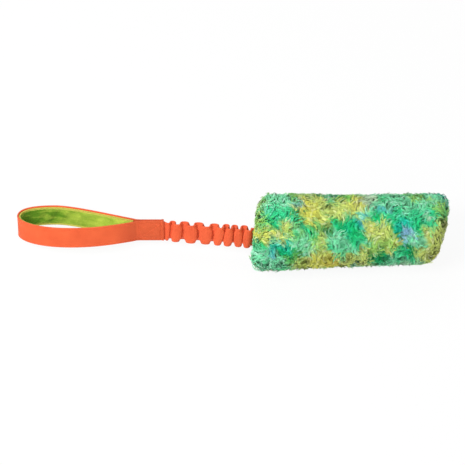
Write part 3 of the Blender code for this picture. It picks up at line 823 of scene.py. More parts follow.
def fold_size(pleats):
    """The depth of the pleats there, as a share: none at the sleeve's ends, and uneven between."""
    grown = ease(first_pleat + 2 * pleats) * ease(2 * (pleat_count - pleats))
    taller = 1 + pleat_growth * (pleats / pleat_count - 0.5)
    return grown * taller * (1 - pleat_unevenness * (1 + np.sin(pleat_beat * pleats)) / 2)


def at_edge(share):
    """0 on the middle of the sleeve's face, rising to 1 in its folded edges."""
    return ease(sleeve_edge_steepness * np.abs(share) - 1)


def fold_at(pleats, face, share):
    """A place on the sleeve's front face (1) or rear face (-1), at a share of its half width: its
    distance along the centreline and its distance to the front."""
    phase = 2 * np.pi * pleats
    size = fold_size(pleats)
    pitch = pleat_place(pleats + 0.5) - pleat_place(pleats - 0.5)
    middle = 1 - at_edge(share)
    along = pleat_place(pleats) + fold_overhang * pitch * size * np.sin(2 * phase)
    along = along + face * middle * crest_spread * pitch * size * np.sin(phase)
    edge = pleat_swing * size * np.cos(phase)
    crest = (0.5 + 0.5 * face * np.cos(phase)) ** crest_roundness
    drift = crease_slant * share + crease_drift * np.sin(crease_beat * phase)
    crease = 0.5 + 0.5 * np.sin(creases_per_pleat * phase + drift)
    belly = face * (sleeve_half + size * (crest_height * crest + crease_height * crease))
    return along, edge + (belly - edge) * middle


def sleeve_places(pleats, lead):
    """World places round the sleeve at each ring, up the front face and down the rear one, and how
    far up the cloth they lie. lead is how far a ring lies before the pleats, or after them for less
    than 0."""
    turn = np.linspace(-np.pi / 2, np.pi / 2, points_across + 1)
    shares = np.concatenate([np.sin(turn), np.sin(turn)[-2:0:-1]])
    face = np.concatenate([np.ones(points_across + 1), -np.ones(points_across - 1)])
    pleats, lead = pleats[:, None], lead[:, None]
    rise = np.broadcast_to(shares * sleeve_width / 2, (len(pleats), len(shares)))
    along, forward = fold_at(pleats, face, shares)
    small = 0.02
    before, after = fold_at(pleats - small, face, shares), fold_at(pleats + small, face, shares)
    step_along, step_forward = after[0] - before[0], after[1] - before[1]
    step = np.hypot(step_along, step_forward)
    thick = sleeve_edge_thickness / 2 * at_edge(shares)
    outer_sixth = np.clip(6 * np.abs(shares) - 5, 0, 1)
    thick = thick * np.sqrt(1 - outer_sixth ** 2)
    along = along - thick * face * step_forward / step
    forward = forward + thick * face * step_along / step
    flat = sleeve_half * (1 - at_edge(shares))
    level = ease(np.abs(lead) / flat_end_reach)
    forward = forward + (face * (flat + thick) - forward) * level
    along = along - lead
    lean = 1 + slant_unevenness * np.sin(slant_beat * pleats + 0.6)
    lean *= pleat_slant * fold_size(pleats)
    along = along + rise * lean * (1 - level)
    rise = rise - sleeve_sag * (1 - level)
    middle = centre_at(along) - forward[..., None] * to_rear(along)
    return in_toy_plane(middle[..., 0], middle[..., 1], rise), rise


def weld(piece):
    """Joins the points that lie together, and turns every face outwards."""
    bpy.ops.object.mode_set(mode="EDIT")
    bpy.ops.mesh.select_all(action="SELECT")
    bpy.ops.mesh.remove_doubles(threshold=1e-6)
    bpy.ops.mesh.normals_make_consistent(inside=False)
    bpy.ops.object.mode_set(mode="OBJECT")


def sleeve_length(name, pleats, lead):
    """One length of the sleeve: a tube with a wall, rolled from a grid."""
    places, rise = sleeve_places(pleats, lead)
    steps = np.linalg.norm(np.diff(places, axis=0), axis=2).mean(axis=1)
    cloth_along = np.concatenate([[0], np.cumsum(steps)])
    around = places.shape[1]
    bpy.ops.object.select_all(action="DESELECT")
    bpy.ops.mesh.primitive_grid_add(x_subdivisions=len(pleats) - 1, y_subdivisions=around, size=1)
    sleeve = bpy.context.object
    sleeve.name = sleeve.data.name = name
    grid = points_of(sleeve)
    order = np.lexsort((np.round(grid[:, 1], 5), np.round(grid[:, 0], 5)))
    rounded = np.concatenate([places, places[:, :1]], axis=1)
    cloth_across = np.concatenate([rise, rise[:, :1]], axis=1)
    cloth = np.stack(np.broadcast_arrays(cloth_along[:, None], cloth_across), axis=-1)
    placed, mapped = np.empty_like(grid), np.empty((len(grid), 2))
    placed[order] = rounded.reshape(-1, 3)
    mapped[order] = cloth.reshape(-1, 2)
    set_points(sleeve, placed)
    set_flat_map(sleeve, mapped)
    weld(sleeve)
    wall = sleeve.modifiers.new("wall", "SOLIDIFY")
    wall.thickness = sleeve_wall
    wall.offset = -1
    apply_modifiers(sleeve)
    sleeve.data.shade_smooth()
    return sleeve


def joint_blend(piece):
    """Bakes the piece's world transform into its mesh."""
    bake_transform(piece)


bend_end = 0.006
stretch_end = 0.072
swing_reach = 0.005
twist_end = bungee_length - swing_reach
crossings = (
    ("at_neck", "neck_bend", -0.0005, 0.005),
    ("stretching", "bungee_stretch", bend_end, stretch_end),
    ("twisting", "bungee_twist", stretch_end, twist_end),
    ("in_mouth", "tug_swing", twist_end, bungee_length + swing_reach),
)
ring_count = round(pleat_count * rings_per_pleat) + 1
ring_pleats = np.concatenate([np.zeros(tail_rings), np.linspace(0, pleat_count, ring_count),
                              np.full(tail_rings, pleat_count)])
tail_steps = np.linspace(sleeve_tail, 0, tail_rings + 1)[:-1]
ring_lead = np.concatenate([tail_steps + neck_band, np.zeros(ring_count),
                            -(tail_steps[::-1] + mouth_band)])
ring_along = pleat_place(ring_pleats) - ring_lead
orange_sleeve = webbing_finish("orange_sleeve", linear(206, 72, 38), linear(240, 106, 62),
                               sleeve_yarn_pitch, 2 * sleeve_yarn_pitch)
sleeve_ends = (-math.inf, bend_end, stretch_end, twist_end, math.inf)
for i, (part, joint_name, blend_start, blend_end) in enumerate(crossings):
    first = max(int(np.searchsorted(ring_along, sleeve_ends[i])) - 1, 0)
    chosen = slice(first, int(np.searchsorted(ring_along, sleeve_ends[i + 1])))
    sleeve = sleeve_length("sleeve_" + part, ring_pleats[chosen], ring_lead[chosen])
    sleeve.data.materials.append(orange_sleeve)
    joint_blend(sleeve)
    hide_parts("bungee_sleeve")

# Elastic: one length of flat braided elastic inside the sleeve, from end to end of it. It crosses
# the same joints as the sleeve, so it is made in the same four lengths.
elastic_end_inset = 0.004
elastic_rib_pitch = 0.0011
elastic_rib_height = 0.00009


def add_ribs(flat, pitch, height):
    """Raises ribs across both faces of a flat strap."""
    flat[:, 2] += np.sign(flat[:, 2]) * height * np.cos(2 * np.pi * flat[:, 0] / pitch)


def elastic_length(name, start, end):
    """One length of the elastic, along the centreline, its outer face to the front."""
    steps = max(8, round((end - start) / (elastic_rib_pitch / 5)))
    strap = flat_strap(name, end - start, elastic_width, elastic_thickness, steps, 10)
    flat = points_of(strap)
    flat[:, 0] += start
    add_ribs(flat, elastic_rib_pitch, elastic_rib_height)
    place = centre_at(flat[:, 0]) - flat[:, 2:3] * to_rear(flat[:, 0])
    set_points(strap, in_toy_plane(place[:, 0], place[:, 1], flat[:, 1]))
    strap.data.shade_smooth()
    return strap


braided_elastic = webbing_finish("elastic", linear(205, 205, 200), linear(245, 245, 240),
                                 sleeve_yarn_pitch, elastic_rib_pitch)
elastic_ends = (elastic_end_inset - sleeve_tail, bend_end, stretch_end, twist_end,
                bungee_length + sleeve_tail - elastic_end_inset)
for i, (part, joint_name, blend_start, blend_end) in enumerate(crossings):
    elastic = elastic_length("elastic_" + part, elastic_ends[i], elastic_ends[i + 1])
    elastic.data.materials.append(braided_elastic)
    joint_blend(elastic)
    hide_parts("elastic_core")

# Anchor strap: a strip of the same webbing that is sewn to the bungee's end and runs through the
# roll, so that a pull doesn't load the fur.
anchor_width = 0.020
anchor_thickness = 0.0016
roll_length = 0.2105
cover_thickness = 0.009
anchor_set_back = 0.001
anchor_shortening = 0.004
anchor_low, anchor_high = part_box("anchor_strap")
anchor_offset = sleeve_half + sewn_gap + anchor_thickness / 2
anchor_start = bungee_length + cover_thickness + anchor_set_back
roll_way = np.array([math.cos(roll_yaw), math.sin(roll_yaw)])

anchor_length = (anchor_high.x - anchor_low.x) / math.cos(roll_yaw) - anchor_shortening
anchor = flat_strap("roll_anchor", anchor_length, anchor_width, anchor_thickness, 500, 12)
anchor_flat = points_of(anchor)
add_ribs(anchor_flat, webbing_rib_pitch, webbing_rib_height)
anchor_root = centre_at(np.array(anchor_start)) + anchor_offset * to_rear(np.array(anchor_start))
anchor_place = anchor_root + anchor_flat[:, :1] * roll_way
anchor_place += -anchor_flat[:, 2:3] * np.array([-roll_way[1], roll_way[0]])
set_points(anchor, in_toy_plane(anchor_place[:, 0], anchor_place[:, 1], anchor_flat[:, 1]))
anchor.data.shade_smooth()
anchor.data.materials.append(orange_webbing)
joint_blend(anchor)
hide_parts("anchor_strap")

# Lap stitching: a box with a cross in it, in orange thread, sewn through the sleeve's flat end and
# the elastic in it. It joins them to the anchor strap.
lap_box_length = 0.013
lap_box_width = 0.008
lap_stitch_stand = 0.4
lap_marks = box_marks(lap_box_length, lap_box_width, box_stitch_pitch)
lap_middle = (sleeve_tail + cover_thickness) / 2
lap_along = bungee_length + lap_middle + lap_marks[:, 0]
lap_height = sleeve_half + lap_stitch_stand * thread_radius
lap_place = centre_at(lap_along) - lap_height * to_rear(lap_along)
lap_centres = in_toy_plane(lap_place[:, 0], lap_place[:, 1], lap_marks[:, 1])
plane_turn = toy_plane[:3, :3]
mouth_along = np.array([math.cos(roll_yaw), math.sin(roll_yaw), 0]) @ plane_turn.T
mouth_rear = np.array([-math.sin(roll_yaw), math.cos(roll_yaw), 0]) @ plane_turn.T
mouth_up = np.array([0, 0, 1]) @ plane_turn.T
lap_ways = np.cos(lap_marks[:, 2:3]) * mouth_along + np.sin(lap_marks[:, 2:3]) * mouth_up
lap_outs = np.broadcast_to(-mouth_rear, lap_ways.shape)
lap_stitch = stitch_model("lap_stitch", box_stitch_length, thread_radius)
lap_threads = sewn(lap_stitch, "lap_threads", lap_centres, lap_ways, lap_outs)
bpy.data.objects.remove(lap_stitch, do_unlink=True)
lap_threads.data.materials.append(orange_thread)
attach(lap_threads, "tug")
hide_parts("lap_box_stitch")

# Wadding: two soft wads of loose polyester fibre, pushed into the roll by hand. They fill it in front
# of the anchor strap and behind it, and press its cover out.
wad_lump_height = 0.0012
wad_lump_size = 0.012
wad_voxel = 0.0025


def wadding_finish():
    """Loose polyester fibre, off-white, with a felted surface."""
    finish, shader = cloth_finish("wadding", 0.95, 0.4)
    felt = noise(finish, own_place(finish), 600.0, 5.0, Distortion=1.0)
    colour = colour_ramp(finish, felt, linear(200, 200, 196), linear(245, 245, 242))
    return dress(finish, shader, colour, felt, 0.8, 0.0006)


def normals_of(piece):
    normals = np.empty(len(piece.data.vertices) * 3, np.float32)
    piece.data.vertex_normals.foreach_get("vector", normals)
    return normals.reshape(-1, 3).astype(float)


def mesh_evenly(piece, voxel):
    """Gives a closed piece a mesh of small squares of one size."""
    even = piece.modifiers.new("even_mesh", "REMESH")
    even.mode = "VOXEL"
    even.voxel_size = voxel
    apply_modifiers(piece)


fibre_wadding = wadding_finish()
for name, node in (("front_wad", "wadding_front"), ("rear_wad", "wadding_rear")):
    wad = bpy.data.objects.new(name, frame["nodes"][node].data.copy())
    bpy.context.scene.collection.objects.link(wad)
    select_only(wad)
    weld(wad)
    mesh_evenly(wad, wad_voxel)
    set_points(wad, points_of(wad) - wad_lump_height * normals_of(wad))
    lumps = bpy.data.textures.new(name + "_lumps", "CLOUDS")
    lumps.noise_scale = wad_lump_size
    lumps.noise_depth = 3
    swell = wad.modifiers.new("lumps", "DISPLACE")
    swell.texture = lumps
    swell.texture_coords = "GLOBAL"
    swell.strength = 2 * wad_lump_height
    swell.mid_level = 0.5
    apply_modifiers(wad)
    wad.data.shade_smooth()
    wad.data.materials.clear()
    wad.data.materials.append(fibre_wadding)
    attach(wad, "tug")
    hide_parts(node)

# Fur cover: a tube of curly faux fur, closed at both ends and stuffed. Its backing is a knitted
# skin that swells under each tuft, and its pile is dyed in soft patches of green, teal and yellow.
roll_mouth_radius = 0.0434
roll_far_radius = 0.0394
roll_swell = 0.0003
roll_flattening = 0.07
roll_corner = 0.011
roll_end_dome = 0.003
roll_base_cut = 0.0005
roll_sideways = -0.0044
mouth_tuck = 0.002
mouth_end_slant = 0.17
far_end_slant = 0.33
slant_bearing = math.radians(40)
tuft_pitch = 0.024
tuft_rows = 12
tuft_height = 0.0024
tuft_drift = 0.8
tuft_drift_length = 0.019
pressed_height = 0.020
backing_depth = 0.0058
backing_facets = 96
backing_ring_pitch = 0.0035
backing_voxel = 0.0032
backing_rest_height = 0.0022
backing_rim_rings = 5
backing_end_rings = 7
backing_end_pitch = 0.0038
backing_smoothings = 4
stuffing_pressure = 4
stuffing_frames = 20
stuffing_swell = 0.0012
stuffing_cap = 0.0016
roll_place = Matrix.Translation((mouth.x + roll_end_dome - mouth_tuck, mouth.y + roll_sideways, 0))
roll_place = np.array(roll_place @ Matrix.Rotation(roll_yaw, 4, "Z"))


def roll_radius(x):
    share = np.clip(x / roll_length, 0, 1)
    taper = roll_mouth_radius + (roll_far_radius - roll_mouth_radius) * share
    return taper + roll_swell * np.sin(3 * np.pi * share)


def tuft_lumps(x, out, turn):
    """The pile's tufts, as soft lumps on a grid of triangles: 1 at their tops, -1/2 between them."""
    reached = x + (roll_radius(x) - out) * np.where(x > roll_length / 2, 1, -1)
    along = 2 * np.pi * reached / tuft_pitch + tuft_drift * np.sin(3 * turn)
    around = tuft_rows * turn + tuft_drift * np.sin(x / tuft_drift_length)
    return (np.cos(around) + 2 * np.cos(along) * np.cos(around / 2)) / 3


def tuft(x, out, turn):
    """How far the cover swells: not in the middle of its ends, nor where it rests."""
    edge = roll_radius(x)
    pressed = ease((edge + out * np.cos(turn)) / pressed_height)
    return tuft_height * tuft_lumps(x, out, turn) * ease(2 * out / edge - 1) * pressed


def backing_blank():
    """The stuffed skin as a straight round bolster, along x, with domed ends and round rims."""
    radius = roll_mouth_radius - backing_depth
    length = roll_length - 2 * backing_depth
    bpy.ops.object.select_all(action="DESELECT")
    bpy.ops.mesh.primitive_cylinder_add(vertices=backing_facets, radius=radius, depth=length,
                                        rotation=(0, math.pi / 2, 0), location=(roll_length / 2, 0, 0))
    blank = bpy.context.object
    blank.name = blank.data.name = "fur_backing"
    bpy.ops.object.transform_apply(location=True, rotation=True, scale=True)
    for face in blank.data.polygons:
        face.select = len(face.vertices) == backing_facets
    bpy.ops.object.mode_set(mode="EDIT")
    bpy.ops.mesh.select_mode(type="FACE")
    bpy.ops.mesh.bevel(offset=roll_corner - backing_depth, segments=backing_rim_rings)
    bpy.ops.object.mode_set(mode="OBJECT")
    for face in blank.data.polygons:
        face.select = len(face.vertices) == backing_facets
    bpy.ops.object.mode_set(mode="EDIT")
    for _ in range(backing_end_rings):
        bpy.ops.mesh.inset(thickness=backing_end_pitch, use_individual=True)
    rings = round(length / backing_ring_pitch)
    for i in range(1, rings):
        bpy.ops.mesh.select_all(action="SELECT")
        where = backing_depth + roll_corner + (length - 2 * roll_corner) * i / rings
        bpy.ops.mesh.bisect(plane_co=(where, 0, 0), plane_no=(1, 0, 0))
    bpy.ops.object.mode_set(mode="OBJECT")
    return blank


def swell_tufts(blank):
    """Moves the bolster's skin out under each tuft, as its outer face does a pile's depth away."""
    places = points_of(blank)
    x, y, z = places.T
    full_x = (x - backing_depth) * roll_length / (roll_length - 2 * backing_depth)
    full_out = np.hypot(y, z) / (roll_mouth_radius - backing_depth) * roll_radius(full_x)
    swell = tuft(full_x, full_out, np.arctan2(y, z))
    set_points(blank, places + swell[:, None] * normals_of(blank))


def roll_form(places):
    """Straight bolster to roll: domed at its ends, tapered, flattened onto the floor and slanted."""
    x, y, z = places.T
    out = np.hypot(y, z) / (roll_mouth_radius - backing_depth)
    end_reach = roll_corner + backing_depth
    near_end = ease(1 - x / end_reach) + ease(1 - (roll_length - x) / end_reach)
    side = np.where(x < roll_length / 2, -1, 1)
    x = x + side * roll_end_dome * near_end * (1 - np.clip(out, 0, 1) ** 2)
    taper = (roll_radius(x) - backing_depth) / (roll_mouth_radius - backing_depth)
    y, z = y * taper * (1 + roll_flattening), z * taper * (1 - roll_flattening)
    share = np.clip(x / roll_length, 0, 1)
    slant = mouth_end_slant + (far_end_slant - mouth_end_slant) * share
    lie = y * math.cos(slant_bearing) + z * math.sin(slant_bearing)
    middle = roll_radius(x) * (1 - roll_flattening) - roll_base_cut
    formed = np.stack([x + slant * lie, y, middle + z], axis=-1)
    formed = formed @ roll_place[:3, :3].T + roll_place[:3, 3]
    formed[:, 2] = np.maximum(formed[:, 2], backing_rest_height)
    return formed


def straight_roll(places):
    """Where places on the roll lie on the straight round bolster: along it, out of its middle line,
    and turned from its top."""
    x, y, z = ((places - roll_place[:3, 3]) @ roll_place[:3, :3]).T
    z = z - roll_radius(x) * (1 - roll_flattening) + roll_base_cut
    lie = y * math.cos(slant_bearing) + z * math.sin(slant_bearing)
    x = (x - mouth_end_slant * lie) / (1 + (far_end_slant - mouth_end_slant) * lie / roll_length)
    y, z = y / (1 + roll_flattening), z / (1 - roll_flattening)
    return x, np.hypot(y, z) + backing_depth, np.arctan2(y, z)


def stuffed(piece):
    """Swells a closed skin as stuffing does, by cloth simulation under pressure."""
    slack = points_of(piece) - stuffing_swell * normals_of(piece)
    set_points(piece, slack)
    cloth = piece.modifiers.new("stuffing", "CLOTH")
    cloth.settings.use_pressure = True
    cloth.settings.uniform_pressure_force = stuffing_pressure
    cloth.settings.effector_weights.gravity = 0
    for frame_number in range(1, stuffing_frames + 1):
        bpy.context.scene.frame_set(frame_number)
    swollen = piece.evaluated_get(bpy.context.evaluated_depsgraph_get())
    moved = points_of(swollen) - slack
    piece.modifiers.remove(cloth)
    bpy.context.scene.frame_set(1)
    reach = np.linalg.norm(moved, axis=1, keepdims=True)
    full = slack + moved * np.minimum(1, stuffing_cap / np.maximum(reach, 1e-9))
    full[:, 2] = np.maximum(full[:, 2], backing_rest_height)
    set_points(piece, full)


backing = backing_blank()
swell_tufts(backing)
set_points(backing, roll_form(points_of(backing)))
mesh_evenly(backing, backing_voxel)
stuffed(backing)
smoother = backing.modifiers.new("smoother", "SMOOTH")
smoother.iterations = backing_smoothings
finer = backing.modifiers.new("finer", "SUBSURF")
finer.levels = finer.render_levels = 1
apply_modifiers(backing)
backing.data.shade_smooth()

# Dyes of the pile, and the patches that each one lies in: how far along the roll from its mouth
# and how far round it from the side that faces up and forward, in millimetres and degrees, and
# the patch's size in millimetres.
dyes = {
    "straw": (206, 224, 118), "gold": (220, 222, 96), "lime": (164, 218, 104), "moss": (112, 200, 86),
    "mint": (128, 230, 174), "jade": (56, 216, 146), "emerald": (4, 196, 114), "forest": (0, 148, 78),
    "teal": (12, 198, 162), "sky": (76, 184, 202), "periwinkle": (142, 190, 224),
    "cream": (198, 230, 190), "amber": (234, 206, 92),
}
patches = (
    (1, 62, 9, "lime"), (0, 30, 8, "lime"), (0, 4, 7, "gold"), (6, -9, 5, "lime"),
    (12, 72, 9, "mint"), (24, 56, 10, "mint"), (36, 62, 9, "mint"), (18, 36, 9, "jade"),
    (32, 34, 9, "jade"), (47, 52, 5, "sky"), (11, 15, 7, "emerald"), (15, 12, 4, "forest"),
    (26, 20, 7, "jade"), (44, 25, 6, "forest"), (72, 78, 5, "forest"), (58, 50, 12, "gold"),
    (70, 60, 10, "straw"), (62, 30, 11, "gold"), (78, 30, 12, "straw"), (76, 36, 5, "lime"),
    (96, 45, 12, "straw"), (112, 50, 9, "gold"), (108, 37, 8, "straw"), (82, 60, 5, "jade"),
    (99, 72, 7, "moss"), (126, 60, 6, "cream"), (140, 68, 6, "emerald"), (138, 46, 8, "mint"),
    (152, 56, 10, "mint"), (168, 50, 11, "mint"), (184, 44, 11, "mint"), (160, 33, 9, "jade"),
    (180, 30, 9, "jade"), (184, 72, 8, "lime"), (131, 27, 8, "emerald"), (142, 37, 5, "sky"),
    (120, 30, 6, "mint"), (150, 22, 8, "jade"), (33, 4, 8, "straw"), (10, -3, 8, "gold"),
    (22, -5, 8, "straw"), (40, -6, 7, "lime"), (48, 10, 8, "jade"), (60, 3, 8, "emerald"),
    (76, 9, 6, "forest"), (83, -2, 4, "mint"), (90, 12, 7, "emerald"), (98, 2, 10, "emerald"),
    (110, -7, 9, "emerald"), (117, -18, 7, "jade"), (104, 15, 5, "teal"), (113, 12, 6, "teal"),
    (118, 18, 4, "sky"), (126, -2, 9, "straw"), (138, 3, 8, "straw"), (134, -12, 9, "straw"),
    (130, -4, 3, "amber"), (146, 4, 5, "lime"), (130, -24, 8, "lime"), (142, -26, 8, "lime"),
    (148, -37, 4, "amber"), (156, -24, 4, "amber"), (150, 12, 7, "emerald"), (162, 11, 6, "teal"),
    (180, 0, 8, "emerald"), (176, 14, 7, "jade"), (168, -11, 5, "periwinkle"), (158, -9, 4, "forest"),
    (17, -20, 8, "teal"), (28, -19, 7, "teal"), (16, -29, 5, "sky"), (4, -22, 6, "emerald"),
    (0, -40, 9, "mint"), (14, -44, 8, "mint"), (4, -64, 9, "mint"), (9, -51, 4, "emerald"),
    (30, -30, 6, "emerald"), (45, -36, 6, "forest"), (46, -19, 8, "mint"), (56, -30, 7, "mint"),
    (70, -26, 9, "straw"), (64, -14, 7, "lime"), (50, -54, 7, "straw"), (64, -56, 11, "gold"),
    (82, -56, 11, "gold"), (100, -56, 11, "straw"), (116, -50, 9, "straw"), (81, -60, 5, "amber"),
    (91, -16, 8, "mint"), (100, -28, 10, "mint"), (95, -38, 7, "jade"), (84, -30, 6, "jade"),
    (22, -54, 9, "mint"), (34, -60, 8, "mint"), (38, -46, 6, "moss"), (134, -50, 8, "forest"),
    (138, -62, 7, "emerald"), (162, -30, 7, "emerald"), (171, -39, 7, "forest"), (150, -58, 8, "mint"),
    (164, -60, 9, "jade"), (192, -14, 8, "straw"), (200, -4, 7, "straw"), (194, -32, 9, "straw"),
    (186, -50, 8, "straw"), (201, -42, 8, "straw"), (176, -18, 7, "mint"), (181, -27, 6, "mint"),
    (188, 26, 4, "cream"), (196, 12, 8, "jade"), (201, 28, 7, "jade"), (208, 62, 6, "mint"),
    (208, 42, 7, "lime"), (210, 14, 5, "straw"), (8, 88, 9, "lime"), (26, 86, 9, "mint"),
    (44, 88, 8, "moss"), (60, 84, 8, "straw"), (86, 88, 8, "mint"), (108, 86, 8, "lime"),
    (128, 84, 8, "cream"), (150, 86, 9, "mint"), (170, 86, 9, "mint"), (196, 86, 9, "mint"),
    (210, 80, 8, "mint"), (42, -76, 9, "straw"), (64, -74, 11, "gold"), (90, -74, 12, "gold"),
    (112, -70, 11, "straw"),
)
hidden_patch_count = 90
hidden_patch_seed = 7
hidden_patch_size = (0.008, 0.015)
hidden_turns = (98, 276)
hidden_shares = (0.13, 0.06, 0.12, 0.08, 0.17, 0.16, 0.12, 0.05, 0.05, 0.02, 0.01, 0.02, 0.01)
patch_sharpness = 1.6
patch_warp = 0.004
patch_warp_turn = 0.1
patch_radius = 0.038

# Pile: curly locks of a few strands each, which rise from the backing and swirl round the top of
# their tuft, one way or the other. They lie low round the mouth, where the bungee presses them.
lock_count = 9000
strands_per_lock = 5
strand_segments = 5
lock_length = (0.0110, 0.0140)
lock_swirl = (math.radians(36), math.radians(108))
lock_wander_turn = math.radians(20)
lock_spread = (0.0010, 0.0005)
lock_scatter = (0.8, 0.45)
lock_rise_range = (0.80, 1.10)
rising_share = 0.6
strand_width = (0.0005, 0.0009)
strand_flatness = 0.35
strand_slimming = 0.35
strand_roundness = 0.3
lowest_strand = (0.0003, 0.0012)
pile_height = 0.0056
pile_droop = (-0.30, 0.30)
pile_root_depth = 0.0004
rim_rise = (0.35, 0.30)
pressed_reach = 0.030
pressed_share = 0.2
whorl_dip = 0.25
whorl_dip_radius = 0.004
whorl_level = 0.7
whorl_share = 0.72
whorl_wander = 0.0025
whorl_spacing = 0.6 * tuft_pitch
mouth_opening = (0.02, 0.0045, 0.0135)
pile_piece_count = 7
rng = np.random.default_rng(20)


def strand_model():
    """One strand: a slender three-sided cone along z, in even lengths to bend at."""
    bpy.ops.object.select_all(action="DESELECT")
    bpy.ops.mesh.primitive_cone_add(vertices=3, radius1=1, radius2=0, depth=1, location=(0, 0, 0.5))
    strand = bpy.context.object
    bpy.ops.object.transform_apply(location=True, rotation=True, scale=True)
    bpy.ops.object.mode_set(mode="EDIT")
    for i in range(1, strand_segments):
        bpy.ops.mesh.select_all(action="SELECT")
        bpy.ops.mesh.bisect(plane_co=(0, 0, i / strand_segments), plane_no=(0, 0, 1))
    bpy.ops.mesh.select_all(action="SELECT")
    bpy.ops.mesh.quads_convert_to_tris()
    bpy.ops.object.mode_set(mode="OBJECT")
    return strand


def scattered_roots(piece, count):
    """Places spread evenly over a piece."""
    mesh = piece.data
    mesh.calc_loop_triangles()
    corners = np.empty(len(mesh.loop_triangles) * 3, np.int32)
    mesh.loop_triangles.foreach_get("vertices", corners)
    corners = corners.reshape(-1, 3)
    places = points_of(piece)
    a, b, c = (places[corners[:, i]] for i in range(3))
    areas = np.linalg.norm(np.cross(b - a, c - a), axis=1) / 2
    sums = np.cumsum(areas) / areas.sum()
    drawn = (np.arange(count) + rng.random(count)) / count
    chosen = np.searchsorted(sums, drawn).clip(0, len(areas) - 1)
    u, v = rng.random(count), rng.random(count)
    over = u + v > 1
    u[over], v[over] = 1 - u[over], 1 - v[over]
    weights = np.stack([1 - u - v, u, v], axis=-1)
    return (weights[:, :, None] * places[corners[chosen]]).sum(axis=1)


def spaced(places, spacing):
    """A choice of places, the first ones first, that keep a distance from each other."""
    kept = []
    for i, place in enumerate(places):
        if all(np.linalg.norm(places[kept] - place, axis=1) > spacing):
            kept.append(i)
    return np.array(kept)


def tree_of(places):
    tree = kdtree.KDTree(len(places))
    for i, place in enumerate(places):
        tree.insert(place, i)
    tree.balance()
    return tree


def nearest(places, tree):
    return np.array([tree.find(place)[1] for place in places])


def unit(vectors):
    return vectors / np.maximum(np.linalg.norm(vectors, axis=-1, keepdims=True), 1e-9)


def roll_map(places):
    """How far along the roll in metres and how far round it in radians a place lies."""
    local = (places - roll_place[:3, 3]) @ roll_place[:3, :3]
    y = local[:, 1]
    z = local[:, 2] - (roll_radius(roll_length / 2) * (1 - roll_flattening) - roll_base_cut)
    round_from_top = np.arctan2(y, z)
    return local[:, 0], (round_from_top + math.pi / 2 - view_rise + math.pi) % (2 * math.pi) - math.pi


def dye_of(places):
    """The colour of the pile at each place."""
    along, around = roll_map(places)
    names = list(dyes)
    hidden = np.random.default_rng(hidden_patch_seed)
    spots = [(a / 1000, math.radians(r), s / 1000, names.index(n)) for a, r, s, n in patches]
    for _ in range(hidden_patch_count):
        turn = hidden.uniform(*hidden_turns)
        spots.append((hidden.uniform(0, roll_length), math.radians((turn + 180) % 360 - 180),
                      hidden.uniform(*hidden_patch_size), hidden.choice(len(names), p=hidden_shares)))
    spots = np.array(spots)
    x = along + patch_warp * np.sin(around * 7 + along * 210)
    turn = around + patch_warp_turn * np.sin(along * 330 + around * 5)
    turned = (turn[:, None] - spots[None, :, 1] + math.pi) % (2 * math.pi) - math.pi
    distance = np.hypot(x[:, None] - spots[None, :, 0], patch_radius * turned) / spots[None, :, 2]
    shares = np.exp(-patch_sharpness * distance ** 2) + 1e-9
    colours = np.array([linear(*dyes[n])[:3] for n in names])[spots[:, 3].astype(int)]
    return (shares[:, :, None] * colours[None]).sum(axis=1) / shares.sum(axis=1, keepdims=True)


def set_dye_and_shading(mesh, colours):
    layer = mesh.color_attributes.new("dye_and_shading", "FLOAT_COLOR", "POINT")
    layer.data.foreach_set("color", np.concatenate([colours, np.ones((len(colours), 1))], 1)
                           .astype(np.float32).ravel())


def fur_finish(name, roughness):
    """Dyed pile, lit softly as fibres are, with the colour from the piece's colour attribute: its dyes,
    with painted light lifting the pile's shadowed depths.
    """
    finish, shader = cloth_finish(name, roughness, 0.0)
    dye_and_shading = add_node(finish, "ShaderNodeVertexColor", layer_name="dye_and_shading")
    level = level_range(finish, noise(finish, own_place(finish), 900.0, 2.0), (0.3, 0.7), (0.88, 1.1))
    scaled = add_node(finish, "ShaderNodeVectorMath", {0: dye_and_shading.outputs["Color"], 3: level},
                      operation="SCALE")
    finish.node_tree.links.new(scaled.outputs[0], shader.inputs["Base Color"])
    return finish


backing_places, backing_outs = points_of(backing), normals_of(backing)
backing_tree = tree_of(backing_places)
lumps = tuft_lumps(*straight_roll(backing_places))
tops = backing_places[np.argsort(-lumps)[:np.count_nonzero(lumps > whorl_level)]]
whorls = tops[spaced(tops, whorl_spacing)]
whorls = whorls[rng.random(len(whorls)) < whorl_share]
whorls += rng.normal(0, whorl_wander, whorls.shape)

roots = scattered_roots(backing, lock_count)
from_mouth = roots - np.array(mouth)
at_mouth = np.ones(len(roots), bool)
for way, reach in zip((mouth_along, mouth_rear, mouth_up), mouth_opening):
    at_mouth &= np.abs(from_mouth @ way) < reach
roots = roots[~at_mouth]
locks = len(roots)

whorl_of = nearest(roots, tree_of(whorls))
whorl_hand = np.where(rng.random(len(whorls)) < 0.5, -1.0, 1.0)[whorl_of]
lock_wander = rng.normal(0, lock_wander_turn, locks)
from_whorl = np.linalg.norm(roots - whorls[whorl_of], axis=1)
lock_steps = rng.uniform(*lock_length, locks) / strand_segments
lock_steps *= 0.5 + 0.5 * ease(from_whorl / (4 * whorl_dip_radius))
end_share = (backing_outs @ roll_place[:3, :3])[nearest(roots, backing_tree), 0]
at_rim = 4 * end_share ** 2 * (1 - end_share ** 2) * np.where(end_share < 0, *rim_rise)
clear_of_mouth = ease(np.linalg.norm(roots - np.array(mouth), axis=1) / pressed_reach)
lock_rise = pile_height * (1 + at_rim) * (pressed_share + (1 - pressed_share) * clear_of_mouth)
lock_rise *= rng.uniform(*lock_rise_range, locks)
lock_droop = rng.uniform(*pile_droop, locks)
spot = roots.copy()
lock_lines, lock_outs = [], []
